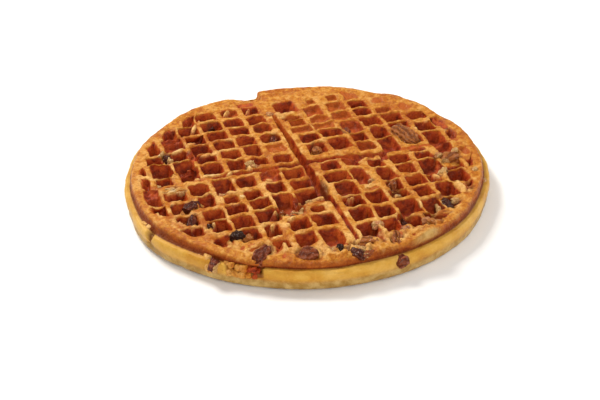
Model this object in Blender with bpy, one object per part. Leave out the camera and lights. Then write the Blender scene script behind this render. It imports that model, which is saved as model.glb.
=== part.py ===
"""Round pecan waffle, quartered by two grooves, with square pockets on both faces.

Metres, +Z up. The origin is the centre of the underside, which rests on Z = 0.
X runs along the shallow groove and Y along the deep one.
"""

import math
import random

import bmesh
import bpy
from mathutils import Matrix, Vector

MM = 0.001

# Outline of the body, as a radius and a height on each turned ring
FLANGE_RADIUS = 92.5 * MM
RING_RADIUS = 89.5 * MM
THICKNESS = 15.0 * MM
FLANGE_TOP = 10.8 * MM
UNDERSIDE_RADIUS = 89.6 * MM
TURN_STEPS = 90
CAP_RADIUS = RING_RADIUS - 1.4 * MM

# Where the poured edge runs out or stops short: angle and spread in degrees, and how far in millimetres
EDGE_RUNS = (
    (72.0, 15.0, 1.6),
    (41.0, 5.0, 1.6),
    (50.0, 3.0, -0.9),
    (20.0, 9.0, -1.2),
    (-42.0, 14.0, -0.9),
    (-158.0, 16.0, 1.7),
    (120.0, 12.0, 0.8),
)

# The pocket grid
PITCH = 12.0 * MM
POCKET_WIDTH = 9.0 * MM
FIRST_POCKET = 5.3 * MM
POCKET_COLUMNS = 7
POCKET_ROWS = 6
POCKET_DEPTH = 5.4 * MM
UNDER_DEPTH = 4.6 * MM
POCKET_DRAFT = 1.0 * MM
GRID_RADIUS = 84.5 * MM
SMALLEST_POCKET = 30.0 * MM * MM
CORNER_JITTER = 0.35 * MM
DEPTH_JITTER = 0.35 * MM
CLIP_SIDES = 40

# The grooves that part the quarters: half widths at the top and at the floor, and depths
DEEP_GROOVE = (1.75 * MM, 0.8 * MM, 5.8 * MM)
SHALLOW_GROOVE = (1.1 * MM, 0.6 * MM, 3.2 * MM)
GROOVE_END = 84.5 * MM

# Cutters reach this far past the faces that they cut
REACH = 1.0 * MM

# Gap between a pecan piece and the crumb around it
SOCKET_GAP = 0.36 * MM

SEED = 7

CRUST = ("waffle_crust", (0.62, 0.30, 0.085, 1.0), 0.55)
PECAN = ("pecan", (0.27, 0.105, 0.045, 1.0), 0.45)


def material(name, colour, roughness):
    """A Principled material, made once and shared."""
    made = bpy.data.materials.get(name)
    if made is None:
        made = bpy.data.materials.new(name)
        made.use_nodes = True
        shader = made.node_tree.nodes["Principled BSDF"]
        shader.inputs["Base Color"].default_value = colour
        shader.inputs["Roughness"].default_value = roughness
        shader.inputs["Metallic"].default_value = 0.0
        made.diffuse_color = colour
    return made


def add_object(name, bm, finish=None):
    """Turns a bmesh into a linked object."""
    bmesh.ops.recalc_face_normals(bm, faces=bm.faces)
    if bm.calc_volume(signed=True) < 0:
        bmesh.ops.reverse_faces(bm, faces=bm.faces)
    mesh = bpy.data.meshes.new(name)
    bm.to_mesh(mesh)
    bm.free()
    made = bpy.data.objects.new(name, mesh)
    bpy.context.scene.collection.objects.link(made)
    if finish:
        mesh.materials.append(material(*finish))
    return made


def polar(angle_deg, radius, height=0.0):
    """A point from its angle round the waffle and its distance from the middle."""
    angle = math.radians(angle_deg)
    return Vector((radius * math.cos(angle), radius * math.sin(angle), height))


def body_profile():
    """Radius and height round the edge, from the rim of the top face down to the underside's."""
    return [
        (CAP_RADIUS, THICKNESS),
        (RING_RADIUS, THICKNESS - 0.7 * MM),
        (RING_RADIUS + 0.4 * MM, FLANGE_TOP + 1.2 * MM),
        (RING_RADIUS + 0.8 * MM, FLANGE_TOP - 0.1 * MM),
        (FLANGE_RADIUS - 1.5 * MM, FLANGE_TOP),
        (FLANGE_RADIUS - 0.4 * MM, FLANGE_TOP - 1.2 * MM),
        (FLANGE_RADIUS, FLANGE_TOP - 4.0 * MM),
        (FLANGE_RADIUS - 0.2 * MM, 3.2 * MM),
        (FLANGE_RADIUS - 1.3 * MM, 0.9 * MM),
        (UNDERSIDE_RADIUS, 0.0),
    ]


def edge_run(angle_deg):
    """How far the poured edge runs past its nominal radius at this angle."""
    out = 0.25 * math.sin(math.radians(7 * angle_deg) + 2.0) + 0.15 * math.sin(math.radians(13 * angle_deg))
    for middle, spread, far in EDGE_RUNS:
        off = (angle_deg - middle + 180) % 360 - 180
        out += far * math.exp(-((off / spread) ** 2))
    return out * MM


def turned_body():
    """The disc with its raised ring and lower flange, before anything is pressed into it."""
    bm = bmesh.new()
    points = [bm.verts.new((radius, 0.0, height)) for radius, height in body_profile()]
    edges = [bm.edges.new(pair) for pair in zip(points, points[1:])]
    bmesh.ops.spin(
        bm,
        geom=points + edges,
        axis=(0, 0, 1),
        cent=(0, 0, 0),
        angle=math.tau,
        steps=TURN_STEPS,
        use_merge=True,
    )
    bmesh.ops.remove_doubles(bm, verts=bm.verts, dist=0.01 * MM)
    for vert in bm.verts:
        flat = Vector((vert.co.x, vert.co.y))
        if flat.length > CAP_RADIUS + 0.5 * MM and vert.co.z > 0:
            shifted = flat * (1 + edge_run(math.degrees(math.atan2(flat.y, flat.x))) / flat.length)
            vert.co.x, vert.co.y = shifted
    rims = [edge for edge in bm.edges if edge.is_boundary]
    bmesh.ops.edgeloop_fill(bm, edges=rims)
    return add_object("waffle", bm, CRUST)


def clipped(outline, radius):
    """The part of a convex outline that lies within a circle of many short sides."""
    for k in range(CLIP_SIDES):
        normal = Vector((math.cos(math.tau * k / CLIP_SIDES), math.sin(math.tau * k / CLIP_SIDES)))
        kept = []
        for a, b in zip(outline, outline[1:] + outline[:1]):
            over_a = a.dot(normal) - radius
            over_b = b.dot(normal) - radius
            if over_a <= 0:
                kept.append(a)
            if (over_a < 0 < over_b) or (over_b < 0 < over_a):
                kept.append(a.lerp(b, over_a / (over_a - over_b)))
        outline = kept
        if len(outline) < 3:
            return []
    return outline


def area_of(outline):
    return abs(sum(a.cross(b) for a, b in zip(outline, outline[1:] + outline[:1]))) / 2


def pocket_outlines(draw):
    """The mouth of every pocket on one face, clipped to the round grid."""
    for side_x in (-1, 1):
        for side_y in (-1, 1):
            for column in range(POCKET_COLUMNS):
                for row in range(POCKET_ROWS):
                    x0 = FIRST_POCKET + column * PITCH
                    y0 = FIRST_POCKET + row * PITCH
                    corners = []
                    for dx, dy in ((0, 0), (1, 0), (1, 1), (0, 1)):
                        x = x0 + dx * POCKET_WIDTH + draw.uniform(-CORNER_JITTER, CORNER_JITTER)
                        y = y0 + dy * POCKET_WIDTH + draw.uniform(-CORNER_JITTER, CORNER_JITTER)
                        corners.append(Vector((side_x * x, side_y * y)))
                    outline = clipped(corners, GRID_RADIUS)
                    if outline and area_of(outline) > SMALLEST_POCKET:
                        yield outline


def add_frustum(bm, outline, face_z, depth, draft, up):
    """A tapered plug, narrowing by draft from its mouth at face_z. up is 1 on the top face and -1 below."""
    middle = sum(outline, Vector((0, 0))) / len(outline)
    half = math.sqrt(area_of(outline)) / 2
    loops = []
    for level, inset in ((REACH, -draft * REACH / depth), (-depth, draft)):
        share = 1 - inset / half
        z = face_z + up * level
        loops.append([bm.verts.new((*(middle + (p - middle) * share), z)) for p in outline])
    outer, inner = loops
    bm.faces.new(outer)
    bm.faces.new(inner)
    for k in range(len(outline)):
        n = (k + 1) % len(outline)
        bm.faces.new((outer[k], outer[n], inner[n], inner[k]))


def pocket_cutter(name, face_z, depth, up, seed):
    draw = random.Random(seed)
    bm = bmesh.new()
    for outline in pocket_outlines(draw):
        add_frustum(bm, outline, face_z, depth + draw.uniform(-DEPTH_JITTER, DEPTH_JITTER), POCKET_DRAFT, up)
    return add_object(name, bm)


def groove_cutter(name, section, turn_deg, face_z, up):
    """A long trough along Y, turned by turn_deg."""
    half_top, half_floor, depth = section
    slope = (half_top - half_floor) / depth
    half_mouth = half_top + slope * REACH
    bm = bmesh.new()
    ends = []
    for y in (-GROOVE_END, GROOVE_END):
        ring = [(-half_mouth, REACH), (half_mouth, REACH), (half_floor, -depth), (-half_floor, -depth)]
        ends.append([bm.verts.new((x, y, face_z + up * level)) for x, level in ring])
    for ring in ends:
        bm.faces.new(ring)
    for k in range(4):
        n = (k + 1) % 4
        bm.faces.new((ends[0][k], ends[0][n], ends[1][n], ends[1][k]))
    bm.transform(Matrix.Rotation(math.radians(turn_deg), 4, "Z"))
    return add_object(name, bm)


def box_cutter(name, centre, size, turn_deg=0.0):
    """A box with its middle at centre, for a broken rib or a dent in the edge."""
    bm = bmesh.new()
    bmesh.ops.create_cube(bm, size=1.0)
    bm.transform(Matrix.Diagonal((*size, 1.0)))
    bm.transform(Matrix.Translation(centre) @ Matrix.Rotation(math.radians(turn_deg), 4, "Z"))
    return add_object(name, bm)


# Ribs that broke or never filled: middle X and Y, size along X and Y, and how far down, in millimetres
BROKEN_RIBS = (
    (-15.0, -39.8, 25.0, 3.6, 4.3),
    (-3.0, -28.5, 4.0, 16.0, 4.8),
    (8.0, 63.8, 9.4, 3.6, 4.4),
    (15.6, 39.8, 21.0, 3.2, 2.0),
    (15.8, 27.8, 3.2, 9.0, 2.4),
    (-63.8, 42.0, 3.6, 15.0, 3.6),
    (-57.8, 39.8, 9.0, 3.6, 3.8),
    (-60.0, 3.4, 7.0, 4.2, 3.6),
    (-71.0, 15.8, 9.0, 3.4, 3.4),
    (46.0, 2.6, 6.0, 6.0, 3.0),
    (70.8, 2.6, 7.6, 6.4, 3.6),
    (57.8, -51.8, 8.6, 3.4, 3.6),
    (69.0, -27.6, 9.0, 3.2, 2.6),
)

# Stretches of the edge that stand lower: angle, how wide in degrees, from which radius, and how far down
LOW_EDGES = (
    (97.5, 9.5, 80.5, 2.8),
    (-125.0, 11.0, 90.6, 6.4),
    (-165.0, 3.2, 91.2, 6.4),
)


def dent_cutters():
    """Cutters for the broken ribs and for the low stretches of the edge."""
    made = []
    for k, (x, y, wide, long, down) in enumerate(BROKEN_RIBS):
        height = down * MM + REACH
        centre = (x * MM, y * MM, THICKNESS + REACH - height / 2)
        made.append(box_cutter(f"broken_rib_cutter_{k}", centre, (wide * MM, long * MM, height)))
    for k, (angle, spread, radius, down) in enumerate(LOW_EDGES):
        outer = FLANGE_RADIUS + 4 * MM
        inner = radius * MM
        height = down * MM + REACH
        middle = polar(angle, (inner + outer) / 2, THICKNESS + REACH - height / 2)
        wide = 2 * inner * math.tan(math.radians(spread / 2))
        made.append(box_cutter(f"low_edge_cutter_{k}", middle, (outer - inner, wide, height), angle))
    return made


def pecan_mesh(length, width, height, grow=0.0):
    """A piece of pecan along X: a lobed seed with a furrow down its back and one blunter end."""
    bm = bmesh.new()
    bmesh.ops.create_uvsphere(bm, u_segments=12, v_segments=6, radius=1.0)
    bm.transform(Matrix.Rotation(math.pi / 2, 4, "Y"))
    for vert in bm.verts:
        x, y, z = vert.co
        round_x = math.atan2(z, y)
        lobes = 1 + 0.09 * math.cos(5 * round_x)
        furrow = 1 - 0.16 * max(0.0, math.sin(round_x)) ** 6
        taper = 1 - 0.18 * x
        across = lobes * furrow * taper
        vert.co.x = x * (length / 2 + grow)
        vert.co.y = y * (width / 2 * across + grow)
        vert.co.z = z * (height / 2 * across + grow)
    return bm


# Pecan pieces as large as berries: name, middle X, Y and Z, length, width and height in millimetres,
# then turn and tilt in degrees
PECANS = (
    ("pecan_half_back_right", 58.4, 12.0, 14.6, 19.5, 10.2, 7.5, -75, 3),
    ("pecan_right", 71.2, -18.8, 14.2, 12.5, 9.0, 7.0, 38, -6),
    ("pecan_left", -64.8, -21.6, 13.2, 12.2, 5.8, 6.0, 43, 4),
    ("pecan_left_sliver", -67.2, -33.2, 12.4, 10.5, 4.4, 5.0, 85, -8),
    ("pecan_dark_front_left", -50.8, -55.2, 13.0, 9.0, 5.6, 6.0, 80, 0),
    ("pecan_red_front_left", -43.4, -73.0, 14.2, 13.4, 6.4, 6.0, 48, -4),
    ("pecan_red_front", -23.4, -79.8, 14.0, 10.4, 9.0, 6.0, -20, 2),
    ("pecan_dark_front", -3.0, -86.2, 14.0, 9.6, 4.4, 5.0, -58, 0),
    ("pecan_long_front", 5.4, -79.0, 14.3, 13.0, 5.8, 5.2, -5, 3),
    ("pecan_split_front", 18.2, -81.0, 14.3, 12.8, 4.8, 5.4, 78, 0),
    ("pecan_round_front", 24.8, -75.6, 13.8, 7.8, 5.4, 6.0, 70, 0),
    ("pecan_right_front", 52.4, -58.2, 13.2, 11.0, 5.0, 5.6, 88, 4),
    ("pecan_mid_right", 34.0, -33.4, 12.6, 8.8, 5.4, 6.0, 75, 0),
    ("pecan_back_left", -66.6, 29.6, 13.2, 9.6, 4.4, 5.6, 88, -3),
    ("pecan_back_right", 31.6, 29.4, 12.6, 9.4, 4.6, 5.0, 76, 0),
    ("pecan_by_centre", 10.0, 15.2, 12.4, 10.0, 5.2, 5.6, 82, 5),
    ("pecan_by_groove", -8.6, 33.2, 12.2, 8.8, 4.4, 5.6, 72, 0),
    ("pecan_edge_left", -64.3, -67.2, 8.8, 9.0, 5.2, 6.0, -50, 12),
    ("pecan_edge_front", 17.4, -90.8, 8.6, 7.0, 5.6, 6.4, 20, 0),
)


def add_pecans():
    """Makes each large piece as its own object, and returns the larger copies that cut their sockets."""
    sockets = []
    for name, x, y, z, length, width, height, turn, tilt in PECANS:
        size = (length * MM, width * MM, height * MM)
        piece = add_object(name, pecan_mesh(*size), PECAN)
        socket = add_object(f"{name}_socket", pecan_mesh(*size, grow=SOCKET_GAP))
        for made in (piece, socket):
            made.location = (x * MM, y * MM, z * MM)
            made.rotation_euler = (0.0, math.radians(tilt), math.radians(turn))
        piece.data.shade_smooth()
        sockets.append(socket)
    return sockets


BIT_COUNT = 20
BIT_SIZES = (2.6 * MM, 4.6 * MM)
BIT_CLEARANCE = 2.0 * MM

# A cluster's spread along Y, as a share of its spread along X
CLUSTER_SQUASH = 0.35

# Where chopped nut shows closest together: middle X, Y and spread in millimetres, and how many
BIT_CLUSTERS = (
    (-20.0, -42.0, 6.5, 6),
    (43.0, -68.0, 5.0, 4),
    (-31.5, 4.0, 3.0, 2),
    (33.0, -43.4, 2.0, 2),
    (-47.0, -58.5, 1.5, 1),
    (57.0, -57.5, 2.0, 1),
    (-9.4, -81.0, 1.0, 1),
)


def bit_places(draw):
    """Places of the chopped nut: the clusters first, then an even scatter over the ribs."""
    for x, y, spread, count in BIT_CLUSTERS:
        for _ in range(count):
            along = draw.uniform(-spread, spread)
            across = draw.uniform(-spread, spread) * CLUSTER_SQUASH
            yield Vector(((x + along) * MM, (y + across) * MM))
    kept = []
    while len(kept) < BIT_COUNT:
        angle = draw.uniform(0, math.tau)
        radius = (GRID_RADIUS - 3 * MM) * math.sqrt(draw.random())
        place = Vector((radius * math.cos(angle), radius * math.sin(angle)))
        if all((place - other).length > 1.1 * PITCH for other in kept):
            kept.append(place)
            yield place


def clear_of_pecans(place):
    return all(
        (place - Vector((x * MM, y * MM))).length > length * MM / 2 + BIT_CLEARANCE
        for _, x, y, _, length, _, _, _, _ in PECANS
    )


def nut_bits():
    """Chopped nut and small lumps of batter, as faceted pebbles sunk in the crumb."""
    draw = random.Random(SEED + 2)
    made = []
    for place in bit_places(draw):
        size = draw.uniform(*BIT_SIZES)
        stretch = (1.0, draw.uniform(0.6, 0.85), draw.uniform(0.6, 0.8))
        turn = draw.uniform(0, math.tau)
        if not clear_of_pecans(place):
            continue
        bm = bmesh.new()
        bmesh.ops.create_icosphere(bm, subdivisions=1, radius=size / 2)
        for vert in bm.verts:
            vert.co *= draw.uniform(0.85, 1.15)
        bm.transform(Matrix.Diagonal((*stretch, 1.0)))
        bm.transform(Matrix.Rotation(turn, 4, "Z"))
        bm.transform(Matrix.Translation((*place, THICKNESS - 0.35 * size)))
        made.append(add_object(f"nut_bit_{len(made)}", bm))
    return made


# Ridges of batter that welled up across a pocket: middle X and Y, length, width, and turn in degrees
BATTER_RIDGES = (
    (6.5, 57.5, 14.0, 4.6, 12),
    (8.5, 32.2, 9.5, 4.6, 0),
    (-45.8, -18.2, 8.5, 4.6, 0),
    (21.8, -31.5, 9.5, 4.2, -4),
    (57.4, -33.0, 9.5, 4.4, 40),
    (-7.5, -39.0, 10.5, 4.2, 28),
    (-47.2, 45.0, 13.0, 3.4, 52),
    (-57.0, 31.5, 12.5, 4.2, 36),
    (-22.0, 69.0, 9.0, 3.6, 45),
    (-48.0, 3.4, 15.0, 4.6, 8),
    (-70.6, -3.4, 9.5, 4.8, 28),
    (32.8, -84.6, 15.0, 8.0, 12),
    (-22.5, -7.2, 6.0, 4.0, -30),
)


def batter_ridges():
    made = []
    for k, (x, y, long, wide, turn) in enumerate(BATTER_RIDGES):
        bm = bmesh.new()
        bmesh.ops.create_icosphere(bm, subdivisions=2, radius=0.5)
        bm.transform(Matrix.Diagonal((long * MM, wide * MM, 8.0 * MM, 1.0)))
        bm.transform(Matrix.Rotation(math.radians(turn), 4, "Z"))
        bm.transform(Matrix.Translation((x * MM, y * MM, THICKNESS - 3.6 * MM)))
        made.append(add_object(f"batter_ridge_{k}", bm))
    return made


def keep_main_body(mesh):
    """Drops scraps that a cut leaves loose."""
    bm = bmesh.new()
    bm.from_mesh(mesh)
    left = set(bm.verts)
    islands = []
    while left:
        queue = [left.pop()]
        island = list(queue)
        while queue:
            vert = queue.pop()
            for edge in vert.link_edges:
                other = edge.other_vert(vert)
                if other in left:
                    left.discard(other)
                    queue.append(other)
                    island.append(other)
        islands.append(island)
    islands.sort(key=len)
    scraps = [vert for island in islands[:-1] for vert in island]
    bmesh.ops.delete(bm, geom=scraps, context="VERTS")
    bm.to_mesh(mesh)
    bm.free()


def apply_boolean(body, operation, operand):
    """Applies one Boolean with an object or a collection, and removes what it was done with."""
    step = body.modifiers.new("cut_or_join", "BOOLEAN")
    step.operation = operation
    step.solver = "EXACT"
    grouped = isinstance(operand, bpy.types.Collection)
    step.operand_type = "COLLECTION" if grouped else "OBJECT"
    if grouped:
        step.collection = operand
    else:
        step.object = operand
    graph = bpy.context.evaluated_depsgraph_get()
    result = bpy.data.meshes.new_from_object(body.evaluated_get(graph))
    body.modifiers.remove(step)
    body.data = result
    used = list(operand.objects) if grouped else [operand]
    for done in used:
        bpy.data.objects.remove(done)
    if grouped:
        bpy.data.collections.remove(operand)


def gathered(name, objects):
    """Moves objects into a collection of their own, as the operand of a Boolean."""
    group = bpy.data.collections.new(name)
    bpy.context.scene.collection.children.link(group)
    for made in objects:
        bpy.context.scene.collection.objects.unlink(made)
        group.objects.link(made)
    return group


def waffle(sockets):
    """The baked body: disc, both grids of pockets, grooves, breaks, fused bits, and the pecans' sockets."""
    body = turned_body()
    apply_boolean(body, "DIFFERENCE", pocket_cutter("top_pocket_cutter", THICKNESS, POCKET_DEPTH, 1, SEED))
    apply_boolean(body, "DIFFERENCE", pocket_cutter("under_pocket_cutter", 0.0, UNDER_DEPTH, -1, SEED + 1))
    for face_z, up in ((THICKNESS, 1), (0.0, -1)):
        for section, turn_deg in ((DEEP_GROOVE, 0), (SHALLOW_GROOVE, 90)):
            apply_boolean(body, "DIFFERENCE", groove_cutter("groove_cutter", section, turn_deg, face_z, up))
    for cutter in dent_cutters():
        apply_boolean(body, "DIFFERENCE", cutter)
    apply_boolean(body, "UNION", gathered("fused", nut_bits() + batter_ridges()))
    for socket in sockets:
        apply_boolean(body, "DIFFERENCE", socket)
    keep_main_body(body.data)
    body.data.shade_smooth()
    body.data.set_sharp_from_angle(angle=math.radians(35))
    return body


def build():
    for old in list(bpy.data.objects):
        bpy.data.objects.remove(old)
    waffle(add_pecans())


build()
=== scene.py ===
"""Looks of the round pecan waffle: browned crust, pecan pieces, chopped nut and crumbs.

The shapes are worked out in millimetres and written in metres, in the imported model's own frame:
X along the shallow groove, Y along the deep one, Z up from the underside.
"""

import math

import bpy
import numpy as np
from mathutils import Matrix, Vector
from mathutils.geometry import delaunay_2d_cdt


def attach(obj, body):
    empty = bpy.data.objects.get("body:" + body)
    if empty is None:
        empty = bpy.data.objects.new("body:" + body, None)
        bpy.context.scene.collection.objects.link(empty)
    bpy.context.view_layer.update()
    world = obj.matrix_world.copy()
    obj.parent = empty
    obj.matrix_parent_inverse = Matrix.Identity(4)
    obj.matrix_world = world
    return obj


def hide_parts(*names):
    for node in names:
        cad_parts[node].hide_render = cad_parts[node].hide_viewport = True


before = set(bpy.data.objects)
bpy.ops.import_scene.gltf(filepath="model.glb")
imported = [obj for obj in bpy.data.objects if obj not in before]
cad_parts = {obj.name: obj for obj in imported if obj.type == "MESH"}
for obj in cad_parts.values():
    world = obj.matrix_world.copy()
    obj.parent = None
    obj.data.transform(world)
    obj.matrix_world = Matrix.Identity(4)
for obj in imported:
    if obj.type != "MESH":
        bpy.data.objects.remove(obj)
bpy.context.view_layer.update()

MM = 0.001

# The body's driving sizes in millimetres, as in the part's source
THICKNESS = 15.0
RING_RADIUS = 89.5
FLANGE_RADIUS = 92.5
FLANGE_TOP = 10.8
UNDERSIDE_RADIUS = 89.6
PITCH = 12.0
POCKET_WIDTH = 9.0
FIRST_POCKET = 5.3
COLUMNS = 7
ROWS = 6
POCKET_DEPTH = 5.4
UNDER_DEPTH = 4.6
GRID_RADIUS = 84.5
OPEN_RADIUS = 85.2
EDGE_RUNS = (
    (72.0, 15.0, 1.6),
    (41.0, 5.0, 1.8),
    (30.0, 10.0, 1.2),
    (50.0, 3.0, -0.6),
    (16.0, 7.0, -0.4),
    (-42.0, 14.0, -0.6),
    (-132.0, 12.0, 0.9),
    (-158.0, 16.0, 1.8),
    (122.0, 16.0, 1.2),
    (146.0, 10.0, 0.8),
)

# Where only the raised ring strays: angle and spread in degrees, how far out and how far up in millimetres
RING_STRAYS = (
    (86.0, 9.0, 0.4, 0.7),
    (60.0, 16.0, 0.9, 1.0),
    (31.0, 12.0, 0.8, 0.9),
    (8.0, 9.0, 0.6, 0.8),
    (118.0, 12.0, 0.5, 0.8),
    (-69.0, 4.6, 1.3, 3.1),
    (-158.0, 16.0, -1.4, 0.0),
    (-104.0, 17.0, 0.9, -1.3),
    (-124.0, 7.0, 0.7, -1.2),
)

# The photograph's camera, fitted to the pocket grid
CAMERA_ELEVATION = 30.06
CAMERA_TURN = 16.4
CAMERA_ROLL = -1.48
CAMERA_DISTANCE = 602.4
CAMERA_FOCAL_PX = 1167.85
CAMERA_OFFSET_PX = (7.42, -11.45)
IMAGE_WIDTH_PX = 600
SENSOR_WIDTH = 36.0


def smooth(x, low=0.0, high=1.0):
    """0 below low, 1 above high, and an S-curve between."""
    t = np.clip((x - low) / (high - low), 0.0, 1.0)
    return t * t * (3.0 - 2.0 * t)


class Noise:
    """Gradient noise in space, about -1 to 1, with cells of the given size in millimetres."""

    def __init__(self, cell, seed):
        draw = np.random.default_rng(seed)
        self.cell = cell
        self.order = draw.permutation(256)
        spun = draw.normal(size=(256, 3))
        self.slopes = spun / np.linalg.norm(spun, axis=1)[:, None]

    def corner(self, i, j, k):
        p = self.order
        return self.slopes[p[(p[(p[i & 255] + j) & 255] + k) & 255]]

    def __call__(self, x, y, z=0.0):
        spot = np.stack(np.broadcast_arrays(x, y, z), -1) / self.cell + 911.37
        whole = np.floor(spot).astype(int)
        part = spot - whole
        ease = part**3 * (part * (part * 6 - 15) + 10)
        total = 0.0
        for a in (0, 1):
            for b in (0, 1):
                for c in (0, 1):
                    slope = self.corner(whole[..., 0] + a, whole[..., 1] + b, whole[..., 2] + c)
                    off = part - (a, b, c)
                    weight = 1.0
                    for axis, side in enumerate((a, b, c)):
                        weight = weight * (ease[..., axis] if side else 1 - ease[..., axis])
                    total = total + weight * (slope * off).sum(-1)
        return total * 1.6


wide_noise = Noise(26.0, 3)
mid_noise = Noise(9.0, 4)
lump_noise = Noise(4.2, 5)
crumb_noise = Noise(1.9, 6)
grain_noise = Noise(1.0, 8)


def turn_off(angle, middle):
    """Angle from the middle one, in degrees from -180 to 180."""
    return (angle - middle + 180) % 360 - 180


def bell(angle, middle, spread, power=2):
    """1 at the middle angle, falling to 0 on both sides of it."""
    return np.exp(-((turn_off(angle, middle) / spread) ** power))


def edge_run(angle):
    """How far the poured edge runs past its nominal radius, in millimetres, at an angle in degrees."""
    out = 0.25 * np.sin(np.radians(7 * angle) + 2.0) + 0.15 * np.sin(np.radians(13 * angle))
    for middle, spread, far in EDGE_RUNS:
        out = out + far * bell(angle, middle, spread)
    return out


def ring_stray(angle):
    """How far out and up the raised ring alone strays at an angle."""
    out, up = 0.0, 0.0
    for middle, spread, far, high in RING_STRAYS:
        near = bell(angle, middle, spread)
        out, up = out + far * near, up + high * near
    return out, up


# Mouths of the pockets that aren't regular, one table for each quarter: column and row, the mouth's
# X from and to, its Y from and to, and its share of the full depth
BACK_LEFT_POCKETS = (
    (0, 0, -14.6, -5.0, 5.8, 14.2, 0.9),
    (1, 0, -26.4, -17.6, 6.4, 14.0, 0.9),
    (2, 0, -38.6, -29.8, 4.8, 15.3, 1.0),
    (3, 0, -52.0, -42.0, 4.6, 15.4, 1.1),
    (4, 0, -63.8, -55.0, 0.5, 14.0, 1.1),
    (5, 0, -76.5, -69.0, 1.0, 9.5, 0.8),
    (6, 0, -84.6, -80.0, 0.0, 12.0, 0.8),
    (0, 1, -15.0, -5.4, 17.5, 26.0, 0.35),
    (1, 1, -26.8, -18.3, 17.5, 28.2, 1.0),
    (2, 1, -38.9, -29.6, 17.3, 27.1, 1.0),
    (3, 1, -52.0, -42.4, 17.0, 25.6, 1.0),
    (4, 1, -64.8, -55.0, 12.5, 23.0, 1.1),
    (5, 1, -77.0, -66.4, 10.0, 23.2, 1.1),
    (6, 1, -84.0, -79.8, 14.5, 23.0, 0.8),
    (0, 2, -15.2, -5.4, 28.0, 38.6, 0.95),
    (1, 2, -28.0, -18.2, 29.0, 39.2, 1.0),
    (2, 2, -39.8, -29.8, 29.3, 38.4, 1.0),
    (3, 2, -52.6, -42.8, 27.3, 37.6, 1.1),
    (4, 2, -64.8, -56.0, 23.8, 34.2, 1.0),
    (5, 2, -77.5, -69.6, 23.4, 32.0, 0.9),
    (0, 3, -15.4, -5.6, 41.8, 50.2, 0.65),
    (1, 3, -28.8, -18.6, 42.0, 49.8, 0.8),
    (2, 3, -41.2, -31.0, 40.5, 50.2, 1.05),
    (3, 3, -53.4, -43.0, 38.8, 51.0, 1.0),
    (4, 3, -66.0, -55.4, 35.5, 48.5, 0.9),
    (5, 3, -75.4, -69.0, 33.8, 46.0, 1.0),
    (0, 4, -16.4, -6.6, 51.6, 60.6, 0.9),
    (1, 4, -29.6, -19.2, 51.8, 61.8, 0.95),
    (2, 4, -41.8, -31.0, 51.6, 61.8, 0.95),
    (3, 4, -54.6, -44.0, 48.6, 60.0, 1.0),
    (4, 4, -64.6, -56.2, 49.8, 59.2, 0.9),
    (0, 5, -16.0, -7.5, 62.8, 72.6, 0.8),
    (1, 5, -28.2, -19.4, 64.5, 73.2, 0.6),
    (2, 5, -43.0, -32.0, 65.0, 72.6, 0.9),
    (3, 5, -51.2, -44.0, 60.2, 69.6, 0.8),
)
BACK_RIGHT_POCKETS = (
    (0, 0, 5.4, 15.2, 8.5, 20.2, 0.95),
    (1, 0, 17.8, 28.2, 9.2, 21.4, 1.0),
    (2, 0, 30.4, 39.8, 4.0, 12.4, 0.6),
    (3, 0, 42.4, 51.2, -1.6, 13.0, 0.95),
    (4, 0, 54.6, 65.0, 2.5, 13.0, 0.9),
    (5, 0, 67.4, 77.0, -2.6, 12.2, 1.1),
    (6, 0, 79.4, 84.4, 0.4, 9.0, 0.7),
    (0, 1, 4.8, 15.2, 22.4, 31.2, 0.85),
    (1, 1, 17.0, 28.0, 23.8, 32.4, 0.85),
    (2, 1, 30.8, 38.8, 13.8, 23.2, 0.9),
    (3, 1, 42.6, 51.6, 13.5, 26.2, 1.05),
    (4, 1, 54.4, 64.8, 19.8, 27.8, 0.8),
    (5, 1, 67.4, 77.2, 13.6, 24.2, 1.0),
    (0, 2, 2.8, 14.6, 33.6, 40.2, 0.5),
    (1, 2, 15.0, 27.0, 34.4, 40.2, 0.4),
    (2, 2, 29.8, 40.2, 24.6, 38.2, 0.7),
    (3, 2, 42.0, 52.2, 29.0, 39.5, 1.0),
    (4, 2, 54.4, 65.2, 29.4, 40.0, 1.0),
    (5, 2, 68.2, 77.6, 27.6, 35.8, 0.8),
    (0, 3, 4.4, 12.8, 42.0, 49.8, 0.55),
    (1, 3, 16.2, 27.0, 42.0, 49.6, 0.45),
    (2, 3, 29.0, 39.2, 41.6, 50.6, 0.5),
    (3, 3, 41.8, 51.2, 42.0, 50.2, 1.0),
    (4, 3, 54.0, 63.0, 41.8, 47.8, 0.5),
    (5, 3, 66.6, 74.0, 40.0, 47.0, 0.25),
    (0, 4, 3.4, 13.0, 49.6, 54.6, 0.45),
    (1, 4, 16.2, 25.4, 51.0, 61.8, 0.55),
    (2, 4, 29.2, 39.8, 53.0, 62.8, 0.45),
    (3, 4, 41.8, 51.6, 52.0, 60.6, 0.95),
    (4, 4, 54.0, 62.0, 53.0, 59.0, 0.12),
    (0, 5, 1.8, 13.2, 59.6, 72.8, 1.0),
    (1, 5, 20.4, 25.4, 64.5, 71.0, 0.35),
    (2, 5, 32.6, 38.0, 64.0, 71.0, 0.4),
    (3, 5, 42.0, 50.0, 63.0, 68.5, 0.3),
)
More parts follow.
